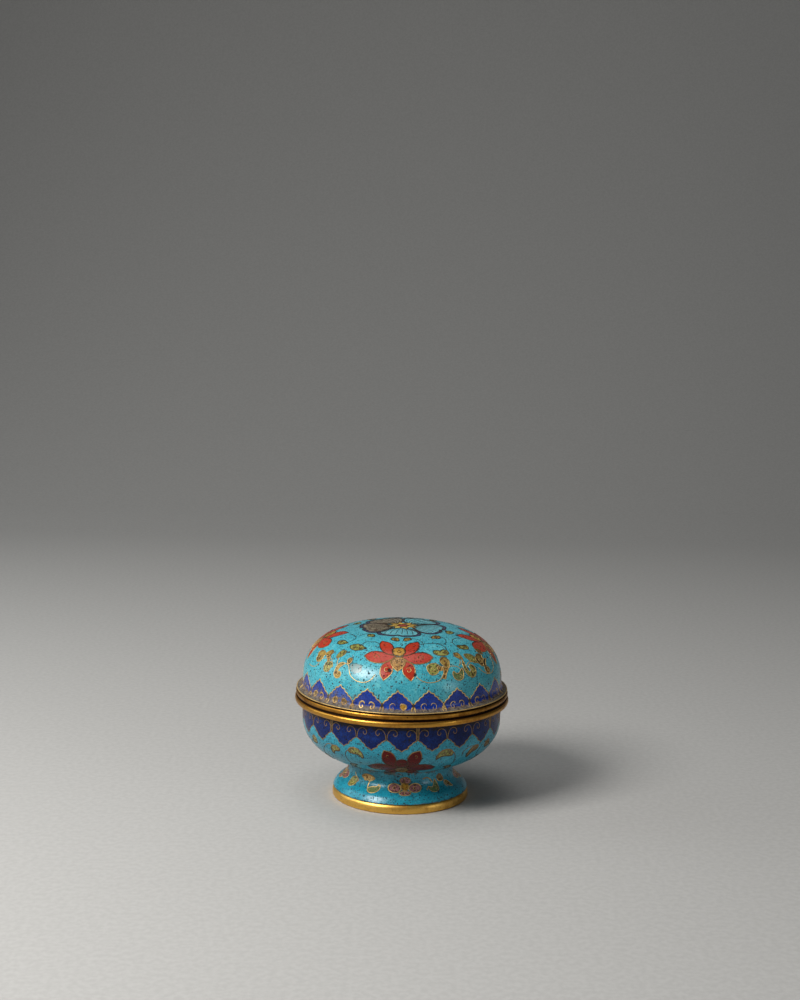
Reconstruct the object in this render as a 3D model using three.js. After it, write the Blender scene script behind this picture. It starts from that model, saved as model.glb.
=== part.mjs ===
// Covered cloisonne enamel box on a splayed foot. Millimetres, +Z up, standing on Z = 0.
// The box is copper, enamelled inside and out, with gilt bronze bands at the mouth and foot.
// Every piece is a solid of revolution about Z with its real wall thickness: the cover lifts
// off the bowl, and both are empty inside.
import * as THREE from 'three';

// ---- driving dimensions --------------------------------------------------------------------
const FACETS = 56; // flat sides around each turned piece
const WALL = 2.8; // copper sheet with enamel on both faces

const MOUTH_RADIUS = 60; // outer edge of the bowl's gilt band, the widest part of the box
const SEAM_Z = 58.5; // where the cover's band rests on the bowl's band
const BAND_HEIGHT = 3.9; // of each band, measured from the seam
const BAND_ROUND = 0.7; // rounding of a band's corners
const SEAM_GROOVE = 0.6; // half the width of the shadow groove between the two bands
const SEAM_GROOVE_DEPTH = 1.6;

const COVER_RADIUS = 55.8; // outside of the cover's wall
const COVER_SPRING_Z = 66; // the dome starts here, above the flared edge
const COVER_TOP_Z = 96.8;
const COVER_EDGE_RADIUS = 59.2; // lip of the cover's flared edge

const BOWL_RADIUS = 55.7; // outside of the bowl's wall
const BOWL_TURN_Z = 46; // the wall is upright above this and curves in below
const BOWL_DEPTH = 27.5; // from there to where its curve would bottom out
const BOWL_UNDERSIDE_Z = 20.8; // flat seat on the foot

const COLLAR_RADIUS = 52.3; // outside of the upright collar that keeps the cover centred
const COLLAR_THICKNESS = 1.6;
const COLLAR_TOP_Z = 62.6;

const NECK_RADIUS = 29.2; // narrowest part of the foot, at the bowl
const FOOT_WALL = 2.6;
const FOOT_EDGE_RADIUS = 38.4; // where the enamelled flare meets the gilt ring
const FOOT_RING_RADIUS = 38.8;
const FOOT_RING_HEIGHT = 5.4;
const FOOT_RING_THICKNESS = 3.4;

// ---- derived dimensions --------------------------------------------------------------------
const COVER_UNDERSIDE_Z = SEAM_Z + BAND_HEIGHT;
const BOWL_TOP_Z = SEAM_Z - BAND_HEIGHT;
const COVER_BORE = COVER_RADIUS - WALL;
const BOWL_BORE = BOWL_RADIUS - WALL;
const COVER_BAND_RADIUS = MOUTH_RADIUS - 0.5;
const FLOOR_Z = BOWL_UNDERSIDE_Z + WALL;

// ---- finishes ------------------------------------------------------------------------------
const enamel = (name) =>
  new THREE.MeshStandardMaterial({ name, color: 0x3fa9bd, roughness: 0.28, metalness: 0 });
const giltBronze = (name) =>
  new THREE.MeshStandardMaterial({ name, color: 0xb98a35, roughness: 0.35, metalness: 1 });

// ---- outlines, as points (radius, height) --------------------------------------------------
const at = (radius, height) => new THREE.Vector2(radius, height);

// A quarter of a superellipse, from the level of its centre to the axis. A positive rise is a
// dome and a negative one is a bowl; fullness sets how square each direction's shoulder is.
class Shoulder extends THREE.Curve {
  constructor({ radius, centreZ, rise, fullness }) {
    super();
    Object.assign(this, { radius, centreZ, rise, fullness });
  }

  getPoint(t, target = at(0, 0)) {
    const angle = (t * Math.PI) / 2;
    const across = Math.max(Math.cos(angle), 0) ** (2 / this.fullness[0]);
    const up = Math.sin(angle) ** (2 / this.fullness[1]);
    return target.set(this.radius * across, this.centreZ + this.rise * up);
  }
}

const DOME_FULLNESS = [3.2, 2.4];
const BOWL_FULLNESS = [2.77, 2.09];

// Points of a shoulder at equal steps, left off where it passes inside the given radius.
function shoulder(shape, steps, innerRadius = 0) {
  const points = new Shoulder(shape).getSpacedPoints(steps);
  return points.filter((point) => point.x > innerRadius);
}

// A quarter circle between two outline directions, for a rounded corner.
function corner(centreRadius, centreZ, radius, startDegrees, endDegrees, steps = 2) {
  return Array.from({ length: steps + 1 }, (_, i) => {
    const angle = THREE.MathUtils.degToRad(
      startDegrees + ((endDegrees - startDegrees) * i) / steps,
    );
    return at(centreRadius + radius * Math.cos(angle), centreZ + radius * Math.sin(angle));
  });
}

// ---- turned solids -------------------------------------------------------------------------
// The outline runs anticlockwise with the radius to the right and height up, and closes on
// itself or on the axis.
function turned(name, outline, material) {
  const onAxis = outline[0].x === 0;
  const points = onAxis ? outline : [...outline, outline[0].clone()];
  const mesh = new THREE.Mesh(new THREE.LatheGeometry(points, FACETS), material);
  mesh.name = name;
  mesh.rotation.x = Math.PI / 2;
  return mesh;
}

// The cover: a full dome whose wall flares out below in a small hollow moulding.
function cover() {
  const outside = shoulder(
    {
      radius: COVER_RADIUS,
      centreZ: COVER_SPRING_Z,
      rise: COVER_TOP_Z - COVER_SPRING_Z,
      fullness: DOME_FULLNESS,
    },
    14,
  );
  const inside = shoulder(
    {
      radius: COVER_BORE,
      centreZ: COVER_SPRING_Z,
      rise: COVER_TOP_Z - COVER_SPRING_Z - WALL,
      fullness: DOME_FULLNESS,
    },
    8,
  );
  const flare = [
    at(COVER_EDGE_RADIUS, COVER_UNDERSIDE_Z),
    at(COVER_EDGE_RADIUS, COVER_UNDERSIDE_Z + 0.6),
    at(COVER_EDGE_RADIUS - 1.4, COVER_UNDERSIDE_Z + 0.9),
    at(COVER_EDGE_RADIUS - 2.6, COVER_UNDERSIDE_Z + 1.6),
  ];
  return turned(
    'cover',
    [
      at(0, COVER_TOP_Z - WALL),
      ...inside.reverse(),
      at(COVER_BORE, COVER_UNDERSIDE_Z),
      ...flare,
      ...outside,
      at(0, COVER_TOP_Z),
    ],
    enamel('cover enamel'),
  );
}

// The cover's gilt band, under the flared edge, with its outer corners rounded and the shadow
// groove cut into its lower edge.
function coverBand() {
  const outer = COVER_BAND_RADIUS - BAND_ROUND;
  return turned(
    'cover_rim',
    [
      at(COVER_BORE, SEAM_Z),
      at(COVER_BAND_RADIUS - SEAM_GROOVE_DEPTH, SEAM_Z),
      at(COVER_BAND_RADIUS - SEAM_GROOVE_DEPTH + 0.3, SEAM_Z + SEAM_GROOVE),
      ...corner(outer, SEAM_Z + SEAM_GROOVE + BAND_ROUND, BAND_ROUND, -90, 0),
      ...corner(outer, COVER_UNDERSIDE_Z - BAND_ROUND, BAND_ROUND, 0, 90),
      at(COVER_BORE, COVER_UNDERSIDE_Z),
    ],
    giltBronze('cover rim gilt bronze'),
  );
}

// The bowl: an upright wall that turns in to a flat seat on the foot.
function bowl() {
  const outside = shoulder(
    {
      radius: BOWL_RADIUS,
      centreZ: BOWL_TURN_Z,
      rise: -BOWL_DEPTH,
      fullness: BOWL_FULLNESS,
    },
    13,
    NECK_RADIUS,
  );
  const inside = shoulder(
    {
      radius: BOWL_BORE,
      centreZ: BOWL_TURN_Z,
      rise: -(BOWL_DEPTH - WALL),
      fullness: BOWL_FULLNESS,
    },
    8,
    NECK_RADIUS,
  );
  return turned(
    'bowl',
    [
      at(0, BOWL_UNDERSIDE_Z),
      at(NECK_RADIUS, BOWL_UNDERSIDE_Z),
      ...outside.reverse(),
      at(BOWL_RADIUS, BOWL_TOP_Z),
      at(BOWL_BORE, BOWL_TOP_Z),
      ...inside,
      at(NECK_RADIUS - 1, FLOOR_Z),
      at(0, FLOOR_Z),
    ],
    enamel('bowl enamel'),
  );
}

// The bowl's gilt band, with the upright collar that the cover slips over.
function bowlBand() {
  const outer = MOUTH_RADIUS - BAND_ROUND;
  const groove = MOUTH_RADIUS - SEAM_GROOVE_DEPTH;
  const collarBore = COLLAR_RADIUS - COLLAR_THICKNESS;
  return turned(
    'bowl_rim',
    [
      at(collarBore, BOWL_TOP_Z),
      ...corner(outer, BOWL_TOP_Z + BAND_ROUND, BAND_ROUND, -90, 0),
      ...corner(outer, SEAM_Z - SEAM_GROOVE - BAND_ROUND, BAND_ROUND, 0, 90),
      at(groove + 0.3, SEAM_Z - SEAM_GROOVE),
      at(groove, SEAM_Z),
      at(COLLAR_RADIUS, SEAM_Z),
      at(COLLAR_RADIUS, COLLAR_TOP_Z),
      at(collarBore, COLLAR_TOP_Z),
    ],
    giltBronze('bowl rim gilt bronze'),
  );
}

// The enamelled foot: a waisted neck that splays to a rounded edge, open underneath.
function foot() {
  const flare = (inset) =>
    new THREE.CubicBezierCurve(
      at(NECK_RADIUS - inset, BOWL_UNDERSIDE_Z),
      at(NECK_RADIUS - inset, 11.6 - inset * 0.3),
      at(33 - inset, 9 - inset * 0.6),
      at(FOOT_EDGE_RADIUS - inset, FOOT_RING_HEIGHT),
    );
  return turned(
    'foot',
    [
      ...flare(0).getPoints(7).reverse(),
      ...flare(FOOT_WALL).getPoints(6),
    ],
    enamel('foot enamel'),
  );
}

// The gilt ring that the box stands on.
function footRing() {
  const outer = FOOT_RING_RADIUS - BAND_ROUND;
  const bore = FOOT_RING_RADIUS - FOOT_RING_THICKNESS;
  return turned(
    'foot_ring',
    [
      at(bore, 0),
      ...corner(outer, BAND_ROUND, BAND_ROUND, -90, 0),
      ...corner(outer, FOOT_RING_HEIGHT - BAND_ROUND, BAND_ROUND, 0, 90),
      at(bore, FOOT_RING_HEIGHT),
    ],
    giltBronze('foot ring gilt bronze'),
  );
}

const box = new THREE.Group();
box.add(cover(), coverBand(), bowl(), bowlBand(), foot(), footRing());

export default box;
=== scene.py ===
# %% [markdown]
# # A covered cloisonne box
# The box is copper, raised and soldered, with wires bent into cells on its outside, glass
# enamel melted into the cells and ground flush, and gilt bronze bands at the mouth and foot.
# The packed solids give every size. This lesson lays the enamel, the wires and the gilding
# over them, one piece at a time.

# %% The frame: packed solids, in metres
import math

import bpy
import numpy as np
from mathutils import Matrix, Vector, geometry, kdtree


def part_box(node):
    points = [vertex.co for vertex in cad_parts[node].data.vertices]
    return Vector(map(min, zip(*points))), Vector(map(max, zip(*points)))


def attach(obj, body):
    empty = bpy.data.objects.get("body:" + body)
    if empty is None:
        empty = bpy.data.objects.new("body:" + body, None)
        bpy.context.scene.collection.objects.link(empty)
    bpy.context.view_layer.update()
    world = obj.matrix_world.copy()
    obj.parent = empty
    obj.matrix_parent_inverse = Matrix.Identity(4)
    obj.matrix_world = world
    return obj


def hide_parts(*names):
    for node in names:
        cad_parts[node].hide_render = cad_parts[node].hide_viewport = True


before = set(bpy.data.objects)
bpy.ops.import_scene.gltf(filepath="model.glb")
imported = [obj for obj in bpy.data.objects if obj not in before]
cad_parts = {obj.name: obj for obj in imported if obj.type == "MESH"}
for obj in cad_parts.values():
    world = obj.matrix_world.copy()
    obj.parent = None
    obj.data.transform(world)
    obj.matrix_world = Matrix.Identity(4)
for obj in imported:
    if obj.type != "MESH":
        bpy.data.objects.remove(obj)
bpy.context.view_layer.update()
MM = 0.001
print("solids:", sorted(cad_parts))

# %% [markdown]
# ## The camera
# A small box on a table is looked at from a little above. The camera stands 0.9 m away with a
# normal lens, pitched down less than the box lies below it, so the box sits low in a tall
# picture. It is rolled by about a degree, because the old box stands a little out of true.
# It is made first, since every later choice of scale depends on how large a millimetre looks.

# %% Camera
CAMERA_DISTANCE = 0.90  # from the middle of the foot
CAMERA_ELEVATION = math.radians(18.42)
CAMERA_PITCH = math.radians(7.78)
CAMERA_ROLL = math.radians(1.0)
CAMERA_SIDE = -0.0029  # a small step to the left keeps the rolled box in the middle
LENS_LENGTH, FILM_HEIGHT = 56.0, 36.0


def make_camera():
    lens = bpy.data.cameras.new("camera")
    lens.sensor_fit = "VERTICAL"
    lens.sensor_height = FILM_HEIGHT
    lens.lens = LENS_LENGTH
    lens.clip_start = 0.01
    camera = bpy.data.objects.new("camera", lens)
    stand = Matrix.Translation((
        CAMERA_SIDE,
        -CAMERA_DISTANCE * math.cos(CAMERA_ELEVATION),
        CAMERA_DISTANCE * math.sin(CAMERA_ELEVATION),
    ))
    tip = Matrix.Rotation(math.pi / 2 - CAMERA_PITCH, 4, "X")
    camera.matrix_world = stand @ tip @ Matrix.Rotation(CAMERA_ROLL, 4, "Z")
    bpy.context.scene.collection.objects.link(camera)
    bpy.context.scene.camera = camera
    return camera


camera = make_camera()
print("camera at", tuple(round(v, 3) for v in camera.location))

# %% [markdown]
# ## Turned outlines
# Cover, bowl and foot are raised from sheet over a form, so each is one outline turned about
# the upright axis. An outline could be drawn point by point, but the dome and the bowl both
# follow one quarter of a superellipse, whose two powers say how square the shoulder is. A
# formula keeps the highlights smooth, where a drawn outline would show its kinks.

# %% Formulas for a turned outline
def shoulder(radius, centre, rise, fullness, steps=240):
    """A quarter of a superellipse, from its widest point to the axis."""
    angle = np.linspace(0, math.pi / 2, steps)
    across = np.clip(np.cos(angle), 0, None) ** (2 / fullness[0])
    up = np.sin(angle) ** (2 / fullness[1])
    across[-1] = 0.0
    return np.column_stack((radius * across, centre + rise * up))


def bezier(points, steps=60):
    """A curve from the first point to the last, drawn towards the two between them."""
    t = np.linspace(0, 1, steps)[:, None]
    a, b, c, d = (np.array(p, float) for p in points)
    return a * (1 - t) ** 3 + 3 * b * t * (1 - t) ** 2 + 3 * c * t * t * (1 - t) + d * t**3


print("half way up a round shoulder:", shoulder(10, 0, 10, (2, 2), 3)[1].round(2).tolist())

# %% Outlines of the enamelled pieces: radius and height, in millimetres
WALL, FOOT_WALL = 2.8, 2.6
COVER_RADIUS, COVER_SPRING, COVER_TOP = 55.8, 66.0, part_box("cover")[1][2] / MM
LIP_RADIUS, LIP_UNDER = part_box("cover")[1][0] / MM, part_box("cover")[0][2] / MM
BOWL_RADIUS, BOWL_TURN, BOWL_DEPTH = 55.7, 46.0, 27.5
BOWL_UNDER, BOWL_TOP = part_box("bowl")[0][2] / MM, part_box("bowl_rim")[0][2] / MM
NECK_RADIUS = 29.2
FOOT_TRIM = 0.5  # the finished foot and its ring are this much slimmer than their solids
FOOT_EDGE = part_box("foot")[1][0] / MM - FOOT_TRIM
FOOT_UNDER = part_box("foot")[0][2] / MM
DOME_FULLNESS, BOWL_FULLNESS = (3.2, 2.4), (2.77, 2.09)
FLARE, TOE = (33.0, 10.6), (36.0, 8.4)  # where the foot's curve splays, and where it drops

dome = shoulder(COVER_RADIUS, COVER_SPRING, COVER_TOP - COVER_SPRING, DOME_FULLNESS)
hollow_moulding = bezier((
    (COVER_RADIUS, COVER_SPRING),
    (COVER_RADIUS + 0.1, LIP_UNDER + 1.9),
    (LIP_RADIUS - 2.4, LIP_UNDER + 0.7),
    (LIP_RADIUS - 0.5, LIP_UNDER + 0.16),
), 20)
cover_outline = np.vstack((dome[::-1], hollow_moulding[1:]))
bowl_curve = shoulder(BOWL_RADIUS, BOWL_TURN, -BOWL_DEPTH, BOWL_FULLNESS)
bowl_curve = bowl_curve[bowl_curve[:, 0] > NECK_RADIUS + 0.2][::-1]
bowl_outline = np.vstack(((NECK_RADIUS, BOWL_UNDER), bowl_curve, (BOWL_RADIUS, BOWL_TOP)))
foot_outline = np.vstack((
    bezier(((NECK_RADIUS, BOWL_UNDER), (NECK_RADIUS, 14.2), (30.4, 12.4), FLARE), 40),
    bezier((FLARE, (34.3, 9.7), (35.2, 9.4), TOE), 10)[1:],
    bezier((TOE, (36.8, 7.4), (37.4, 6.5), (FOOT_EDGE, FOOT_UNDER)), 10)[1:],
))
print("outlines have", len(cover_outline), len(bowl_outline), len(foot_outline), "points")

# %% [markdown]
# ## A flat sheet for the design
# The wire work has to run over a dome without a seam. It could be painted as an image or drawn
# in a shader, but neither gives real wires and cells. Here each turned surface gets a flat,
# round sheet: the angle on the sheet is the angle around the box, and the distance from its
# middle is the distance along the outline. Motifs are drawn in millimetres, laid on the sheet
# and cut into it, and the cut sheet is then wrapped onto the surface.


# %% The sheet and how it wraps
OUTLINE_STEP = 0.2  # spacing of the outline points that a skin keeps


def polar(rho, angle):
    """Points of the sheet, from their distance from its middle and their angle."""
    return np.column_stack((rho * np.cos(angle), rho * np.sin(angle)))


class Skin:
    """One turned surface. The sheet starts at radius 'start', where the outline starts."""

    def __init__(self, outline, start, down_from_start=True):
        steps = np.hypot(*np.diff(outline, axis=0).T)
        arc = np.concatenate(((0.0,), np.cumsum(steps)))
        self.start, self.length = start, arc[-1]
        self.arc = np.linspace(0, self.length, int(self.length / OUTLINE_STEP))
        self.outline = np.column_stack([np.interp(self.arc, arc, outline[:, i]) for i in (0, 1)])
        self.down_from_start = down_from_start
        slope = np.gradient(self.outline, self.arc, axis=0)
        side = 1 if down_from_start else -1
        self.normal = side * np.column_stack((-slope[:, 1], slope[:, 0]))
        if start == 0:
            self.normal[0] = (0, 1)

    def sheet_radius(self, down):
        """'down' is measured along the outline from its upper end."""
        return self.start + (down if self.down_from_start else self.length - down)

    def place(self, motif, azimuth, down):
        """Lays a motif, x to the right and y up, at an angle round the box and a distance down."""
        motif = np.asarray(motif, float)
        rho = self.sheet_radius(down - motif[:, 1])
        true_radius = np.interp(rho - self.start, self.arc, self.outline[:, 0])
        return polar(rho, math.radians(azimuth - 90) + motif[:, 0] / np.maximum(true_radius, 1.0))

    def trail(self, points, azimuth):
        """Lays a smooth path given as (degrees round, millimetres down)."""
        points = smooth(points)
        return polar(self.sheet_radius(points[:, 1]), np.radians(azimuth - 90 + points[:, 0]))

    def wrap(self, sheet):
        """Points on the sheet become points on the surface, in metres, and their normals."""
        rho = np.hypot(sheet[:, 0], sheet[:, 1])
        angle = np.arctan2(sheet[:, 1], sheet[:, 0])
        along = np.clip(rho - self.start, 0, self.length)
        curves = (*self.outline.T, *self.normal.T)
        radius, height, out, up = (np.interp(along, self.arc, values) for values in curves)
        length = np.hypot(out, up)
        around = np.column_stack((np.cos(angle), np.sin(angle)))
        points = np.column_stack((around * radius[:, None], height)) * MM
        normals = np.column_stack((around * (out / length)[:, None], up / length))
        return points, normals


cover_skin = Skin(cover_outline, 0.0)
bowl_skin = Skin(bowl_outline, NECK_RADIUS, down_from_start=False)
foot_skin = Skin(foot_outline, NECK_RADIUS)
print("outline lengths, mm:", [round(s.length, 1) for s in (cover_skin, bowl_skin, foot_skin)])

# %% [markdown]
# ## Drawing with few points
# A wire bender works in smooth sweeps that meet at sharp corners. So an outline here is a few
# strokes, each a smooth curve through two to six points, joined at their ends. Bezier curve
# objects could hold them too, but plain arrays are easier to mirror, turn and lay on a sheet.


# %% Smooth strokes
def smooth(points, steps=10):
    """A Catmull-Rom curve through the points."""
    p = np.asarray(points, float)
    if len(p) == 2:
        return np.linspace(p[0], p[1], steps)
    p = np.vstack((2 * p[0] - p[1], p, 2 * p[-1] - p[-2]))
    t = np.linspace(0, 1, steps, endpoint=False)[:, None]
    parts = [
        0.5 * (2 * b + (c - a) * t + (2 * a - 5 * b + 4 * c - d) * t**2
               + (3 * b - a - 3 * c + d) * t**3)
        for a, b, c, d in zip(p, p[1:], p[2:], p[3:])
    ]
    return np.vstack((*parts, p[-2]))


def strokes(*parts):
    """Smooth strokes that meet at sharp corners, as one path."""
    return np.vstack([smooth(part)[:-1] for part in parts] + [np.array(parts[-1][-1:], float)])


def closed(*parts):
    """Strokes that come back to where they began, without the repeated last point."""
    return strokes(*parts)[:-1]


def both_sides(half):
    """The right half of an outline, from its top to its bottom, closed by its mirror image."""
    half = np.asarray(half, float)
    return np.vstack((half, (half * (-1, 1))[::-1][1:-1]))


def open_arch(half):
    """The same outline left open at its foot, for a wire that ends there."""
    half = np.asarray(half, float)
    return np.vstack((half[::-1], (half * (-1, 1))[1:]))


print("a stroke through three points:", len(smooth([(0, 0), (1, 1), (2, 0)])), "points")


# %% The shapes that repeat
def turned_by(points, degrees, x=0.0, y=0.0):
    """The same points turned about (0, 0), anticlockwise, and then moved."""
    a = math.radians(degrees)
    turn = np.array(((math.cos(a), math.sin(a)), (-math.sin(a), math.cos(a))))
    return np.asarray(points, float) @ turn + (x, y)


def oval(x, y, across, high, tilt=0.0, steps=30):
    """A loop round a middle, with its half width and half height."""
    angle = np.linspace(0, 2 * math.pi, steps, endpoint=False)
    return turned_by(np.column_stack((across * np.cos(angle), high * np.sin(angle))), tilt, x, y)


def curl(x, y, radius, start, turn, close=0.62, steps=24):
    """An open spiral that tightens to its end."""
    t = np.linspace(0, 1, steps)
    angle = np.radians(start + turn * t)
    reach = radius * (1 - close * t)
    return np.column_stack((x + reach * np.cos(angle), y + reach * np.sin(angle)))


def leaf(length, width, bend):
    """A comma leaf: a spine that bends, with a round head and a thin tail."""
    t = np.linspace(0, 1, 22)
    heading = np.radians(bend) * (t - 0.5)
    spine = np.cumsum(np.column_stack((np.cos(heading), np.sin(heading))), axis=0)
    spine = (spine - spine.mean(axis=0)) * length / 22
    half = width / 2 * np.sin(math.pi * t**0.8) ** 0.62 * (1.12 - 0.4 * t)
    side = np.column_stack((-np.sin(heading), np.cos(heading))) * half[:, None]
    return np.vstack((spine + side, (spine - side)[::-1][1:-1]))


print("points of an oval, a curl and a leaf:",
      len(oval(0, 0, 2, 1)), len(curl(0, 0, 2, 0, 360)), len(leaf(9.0, 4.4, 150)))


# %% Even steps, and what lies inside a loop
TINY = 1e-9


def even(path, step, closing=False):
    """The same path cut to even steps."""
    path = np.asarray(path, float)
    if closing:
        path = np.vstack((path, path[:1]))
    gaps = np.hypot(*np.diff(path, axis=0).T)
    arc = np.concatenate(((0.0,), np.cumsum(gaps)))
    count = max(int(round(arc[-1] / step)), 3)
    at = np.linspace(0, arc[-1], count + 1)
    out = np.column_stack([np.interp(at, arc, path[:, i]) for i in (0, 1)])
    return out[:-1] if closing else out


def inside(points, loop):
    """Which points lie inside a closed loop."""
    x, y = points[:, :1], points[:, 1:]
    ax, ay = loop[:, 0], loop[:, 1]
    bx, by = np.roll(ax, -1), np.roll(ay, -1)
    spans = (ay > y) != (by > y)
    rise = np.where(by == ay, TINY, by - ay)
    crossing = spans & (x < (bx - ax) * (y - ay) / rise + ax)
    return crossing.sum(axis=1) % 2 == 1


middle_and_beyond = np.array(((0.0, 0.0), (3.0, 0.0)))
print("is the middle of an oval inside it, and a point beyond:",
      inside(middle_and_beyond, oval(0, 0, 2, 1)).tolist())

# %% [markdown]
# ## The design on a sheet
# A cell is a closed loop of wire filled with one colour of glass, and a scroll is an open wire
# that stands in the ground colour. A design is just these two lists, and a list of pits, where
# a bubble in the glass has broken open. Each cell could be an object of its own, but lists are
# quick to lay out and are then cut all at once. Later cells lie over earlier ones, as the middle
# of a flower lies over its petals, and they also cut off the wires that would run under them.

# %% Cells, wires and pits
WIRE = 0.46  # width of a cloison wire


class Design:
    """What is drawn on one skin: cells of glass, wires and pits."""

    def __init__(self, skin, ground):
        self.skin, self.ground = skin, ground
        self.cells = []  # (loop on the sheet, colour)
        self.wires = []  # (path on the sheet, closed, width, number of cells that lie under it)
        self.pits = []  # (middle on the sheet, radius, depth)
        self.painted_shade = np.zeros_like  # painted shade: how black the glass is at each height

    def add_wire(self, path, is_loop, width):
        self.wires.append((path, is_loop, width, len(self.cells)))

    def add_cell(self, loop, colour, width):
        self.cells.append((loop, colour))
        if width:
            self.add_wire(loop, True, width)

    def cell(self, loop, colour, azimuth, down, width=WIRE):
        self.add_cell(self.skin.place(loop, azimuth, down), colour, width)

    def wire(self, path, azimuth, down, width=WIRE):
        self.add_wire(self.skin.place(path, azimuth, down), False, width)

    def scroll(self, points, azimuth, width=WIRE):
        self.add_wire(self.skin.trail(points, azimuth), False, width)

    def pit(self, azimuth, down, radius, depth=0.7):
        middle = self.skin.place(((0, 0),), azimuth, down)[0]
        uneven = oval(0, 0, radius, radius * 0.8, tilt=azimuth * 7, steps=12)
        self.cell(uneven, "pit", azimuth, down, 0)
        self.pits.append((middle, radius * 1.1, depth))


print("a cloison wire is", WIRE, "mm wide")

# %% [markdown]
# ## Cutting the cells and wrapping the sheet
# The loops become edges of one triangulated sheet, so two colours meet on a true line and the
# mesh is a single closed skin. Knife cuts or Booleans on a curved mesh would give the same
# cells but leave stray slivers. Each triangle takes the colour of the last cell it lies in.
# Each point also remembers whether it lies on a wire, for the dark edge that soot and polish
# leave beside a cloison.


# %% Points that fill the sheet
CELL_STEP = 0.55  # spacing of points along a loop
FILL_STEP = 1.25  # spacing of the points between loops
ROW_STEP = FILL_STEP * 0.87  # spacing of their rows, as in a sheet of even triangles
CLEARANCE = 0.62  # how far they keep from the points on the loops
RING_POINTS = 320  # points round each open edge


def ring_angles(count):
    """The angles of evenly spaced points round a ring."""
    return np.arange(count) * 2 * math.pi / count


def search_tree(points):
    """Finds the nearest of many points, on the sheet or in space."""
    tree = kdtree.KDTree(len(points))
    for i, point in enumerate(points):
        tree.insert((*point, 0)[:3], i)  # a point of the sheet gets 0 as its third number
    tree.balance()
    return tree


def fill_points(design, taken):
    """Points on rings about a step apart, left out near those already there."""
    skin, tree = design.skin, search_tree(taken)
    kept = [] if skin.start else [(0.0, 0.0)]
    rows = int(skin.length / ROW_STEP)
    for row in range(1, rows):
        rho = skin.start + skin.length * row / rows
        count = max(int(2 * math.pi * rho / FILL_STEP), 6)
        angle = (np.arange(count) + row % 2 / 2) * 2 * math.pi / count
        for x, y in polar(rho, angle):
            if tree.find((x, y, 0))[2] > CLEARANCE:
                kept.append((x, y))
    return np.array(kept)


corners_of_square = ((-1, -1), (1, -1), (1, 1), (-1, 1))
print("distance to the nearest corner:", search_tree(corners_of_square).find((2, 1, 0))[2])


# %% The cut sheet and its colours
WELD = 1e-4  # points nearer than this become one


def cut_sheet(design):
    """Triangles of the sheet, and which of its points lie on a wire."""
    skin = design.skin
    rims = [skin.start + skin.length] + ([skin.start] if skin.start else [])
    loops = [even(loop, CELL_STEP, closing=True) for loop, colour in design.cells]
    loops += [polar(radius, ring_angles(RING_POINTS)) for radius in rims]
    edges = []
    first = 0
    for loop in loops:
        count = len(loop)
        edges += [(first + i, first + (i + 1) % count) for i in range(count)]
        first += count
    on_loops = np.vstack(loops)
    every = np.vstack((on_loops, fill_points(design, on_loops)))
    cut = geometry.delaunay_2d_cdt([Vector(p) for p in every], edges, [], 0, WELD)
    sheet = np.array([tuple(v) for v in cut[0]])
    faces = np.array([f for f in cut[2] if len(f) == 3])
    on_wire = np.array([min(old, default=0) < len(on_loops) for old in cut[3]], float)
    middle = sheet[faces].mean(axis=1)
    return sheet, faces[np.hypot(*middle.T) > skin.start], on_wire


def colour_faces(design, sheet, faces):
    """The last cell that holds a triangle's middle gives its colour."""
    colours = [design.ground]
    middle = sheet[faces].mean(axis=1)
    which = np.zeros(len(faces), int)
    for loop, colour in design.cells:
        if colour not in colours:
            colours.append(colour)
        low, high = loop.min(axis=0), loop.max(axis=0)
        near = np.flatnonzero(((middle > low) & (middle < high)).all(axis=1))
        held = near[inside(middle[near], loop)]
        which[held] = colours.index(colour)
    return which, colours


print("points on each open edge:", RING_POINTS)

# %% [markdown]
# ## The plain inside
# The inside, the lip and the underside carry no wires, so there a plain turned mesh is enough.
# A Screw modifier could turn it, but its rings would not meet the cut sheet. This one starts and
# ends on the edge rings of the sheet and shares their points, so the piece is one closed solid
# with its real wall. Corners stay crisp because each face corner gets its own normal: smooth
# along a gentle curve, split where the outline turns sharply.


# %% Corner normals
SHARP = 38  # an outline that turns by more degrees than this keeps a crisp corner


def corner_normals(outline, side):
    """For each outline point, the normal of the face before it and of the face after it."""
    along = np.diff(outline, axis=0)
    along /= np.hypot(*along.T)[:, None]
    face = side * np.column_stack((along[:, 1], -along[:, 0]))
    closes = np.allclose(outline[0], outline[-1])
    before = np.vstack((face[-1:] if closes else face[:1], face))
    after = np.vstack((face, face[:1] if closes else face[-1:]))
    gentle = (before * after).sum(axis=1) > math.cos(math.radians(SHARP))
    mean = before + after
    mean /= np.maximum(np.hypot(*mean.T), TINY)[:, None]
    before[gentle] = mean[gentle]
    after[gentle] = mean[gentle]
    return before, after


print("normals at a right angle:", *corner_normals(np.array(((0, 0), (1, 0), (1, 1.0))), 1)[0][1])


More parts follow.
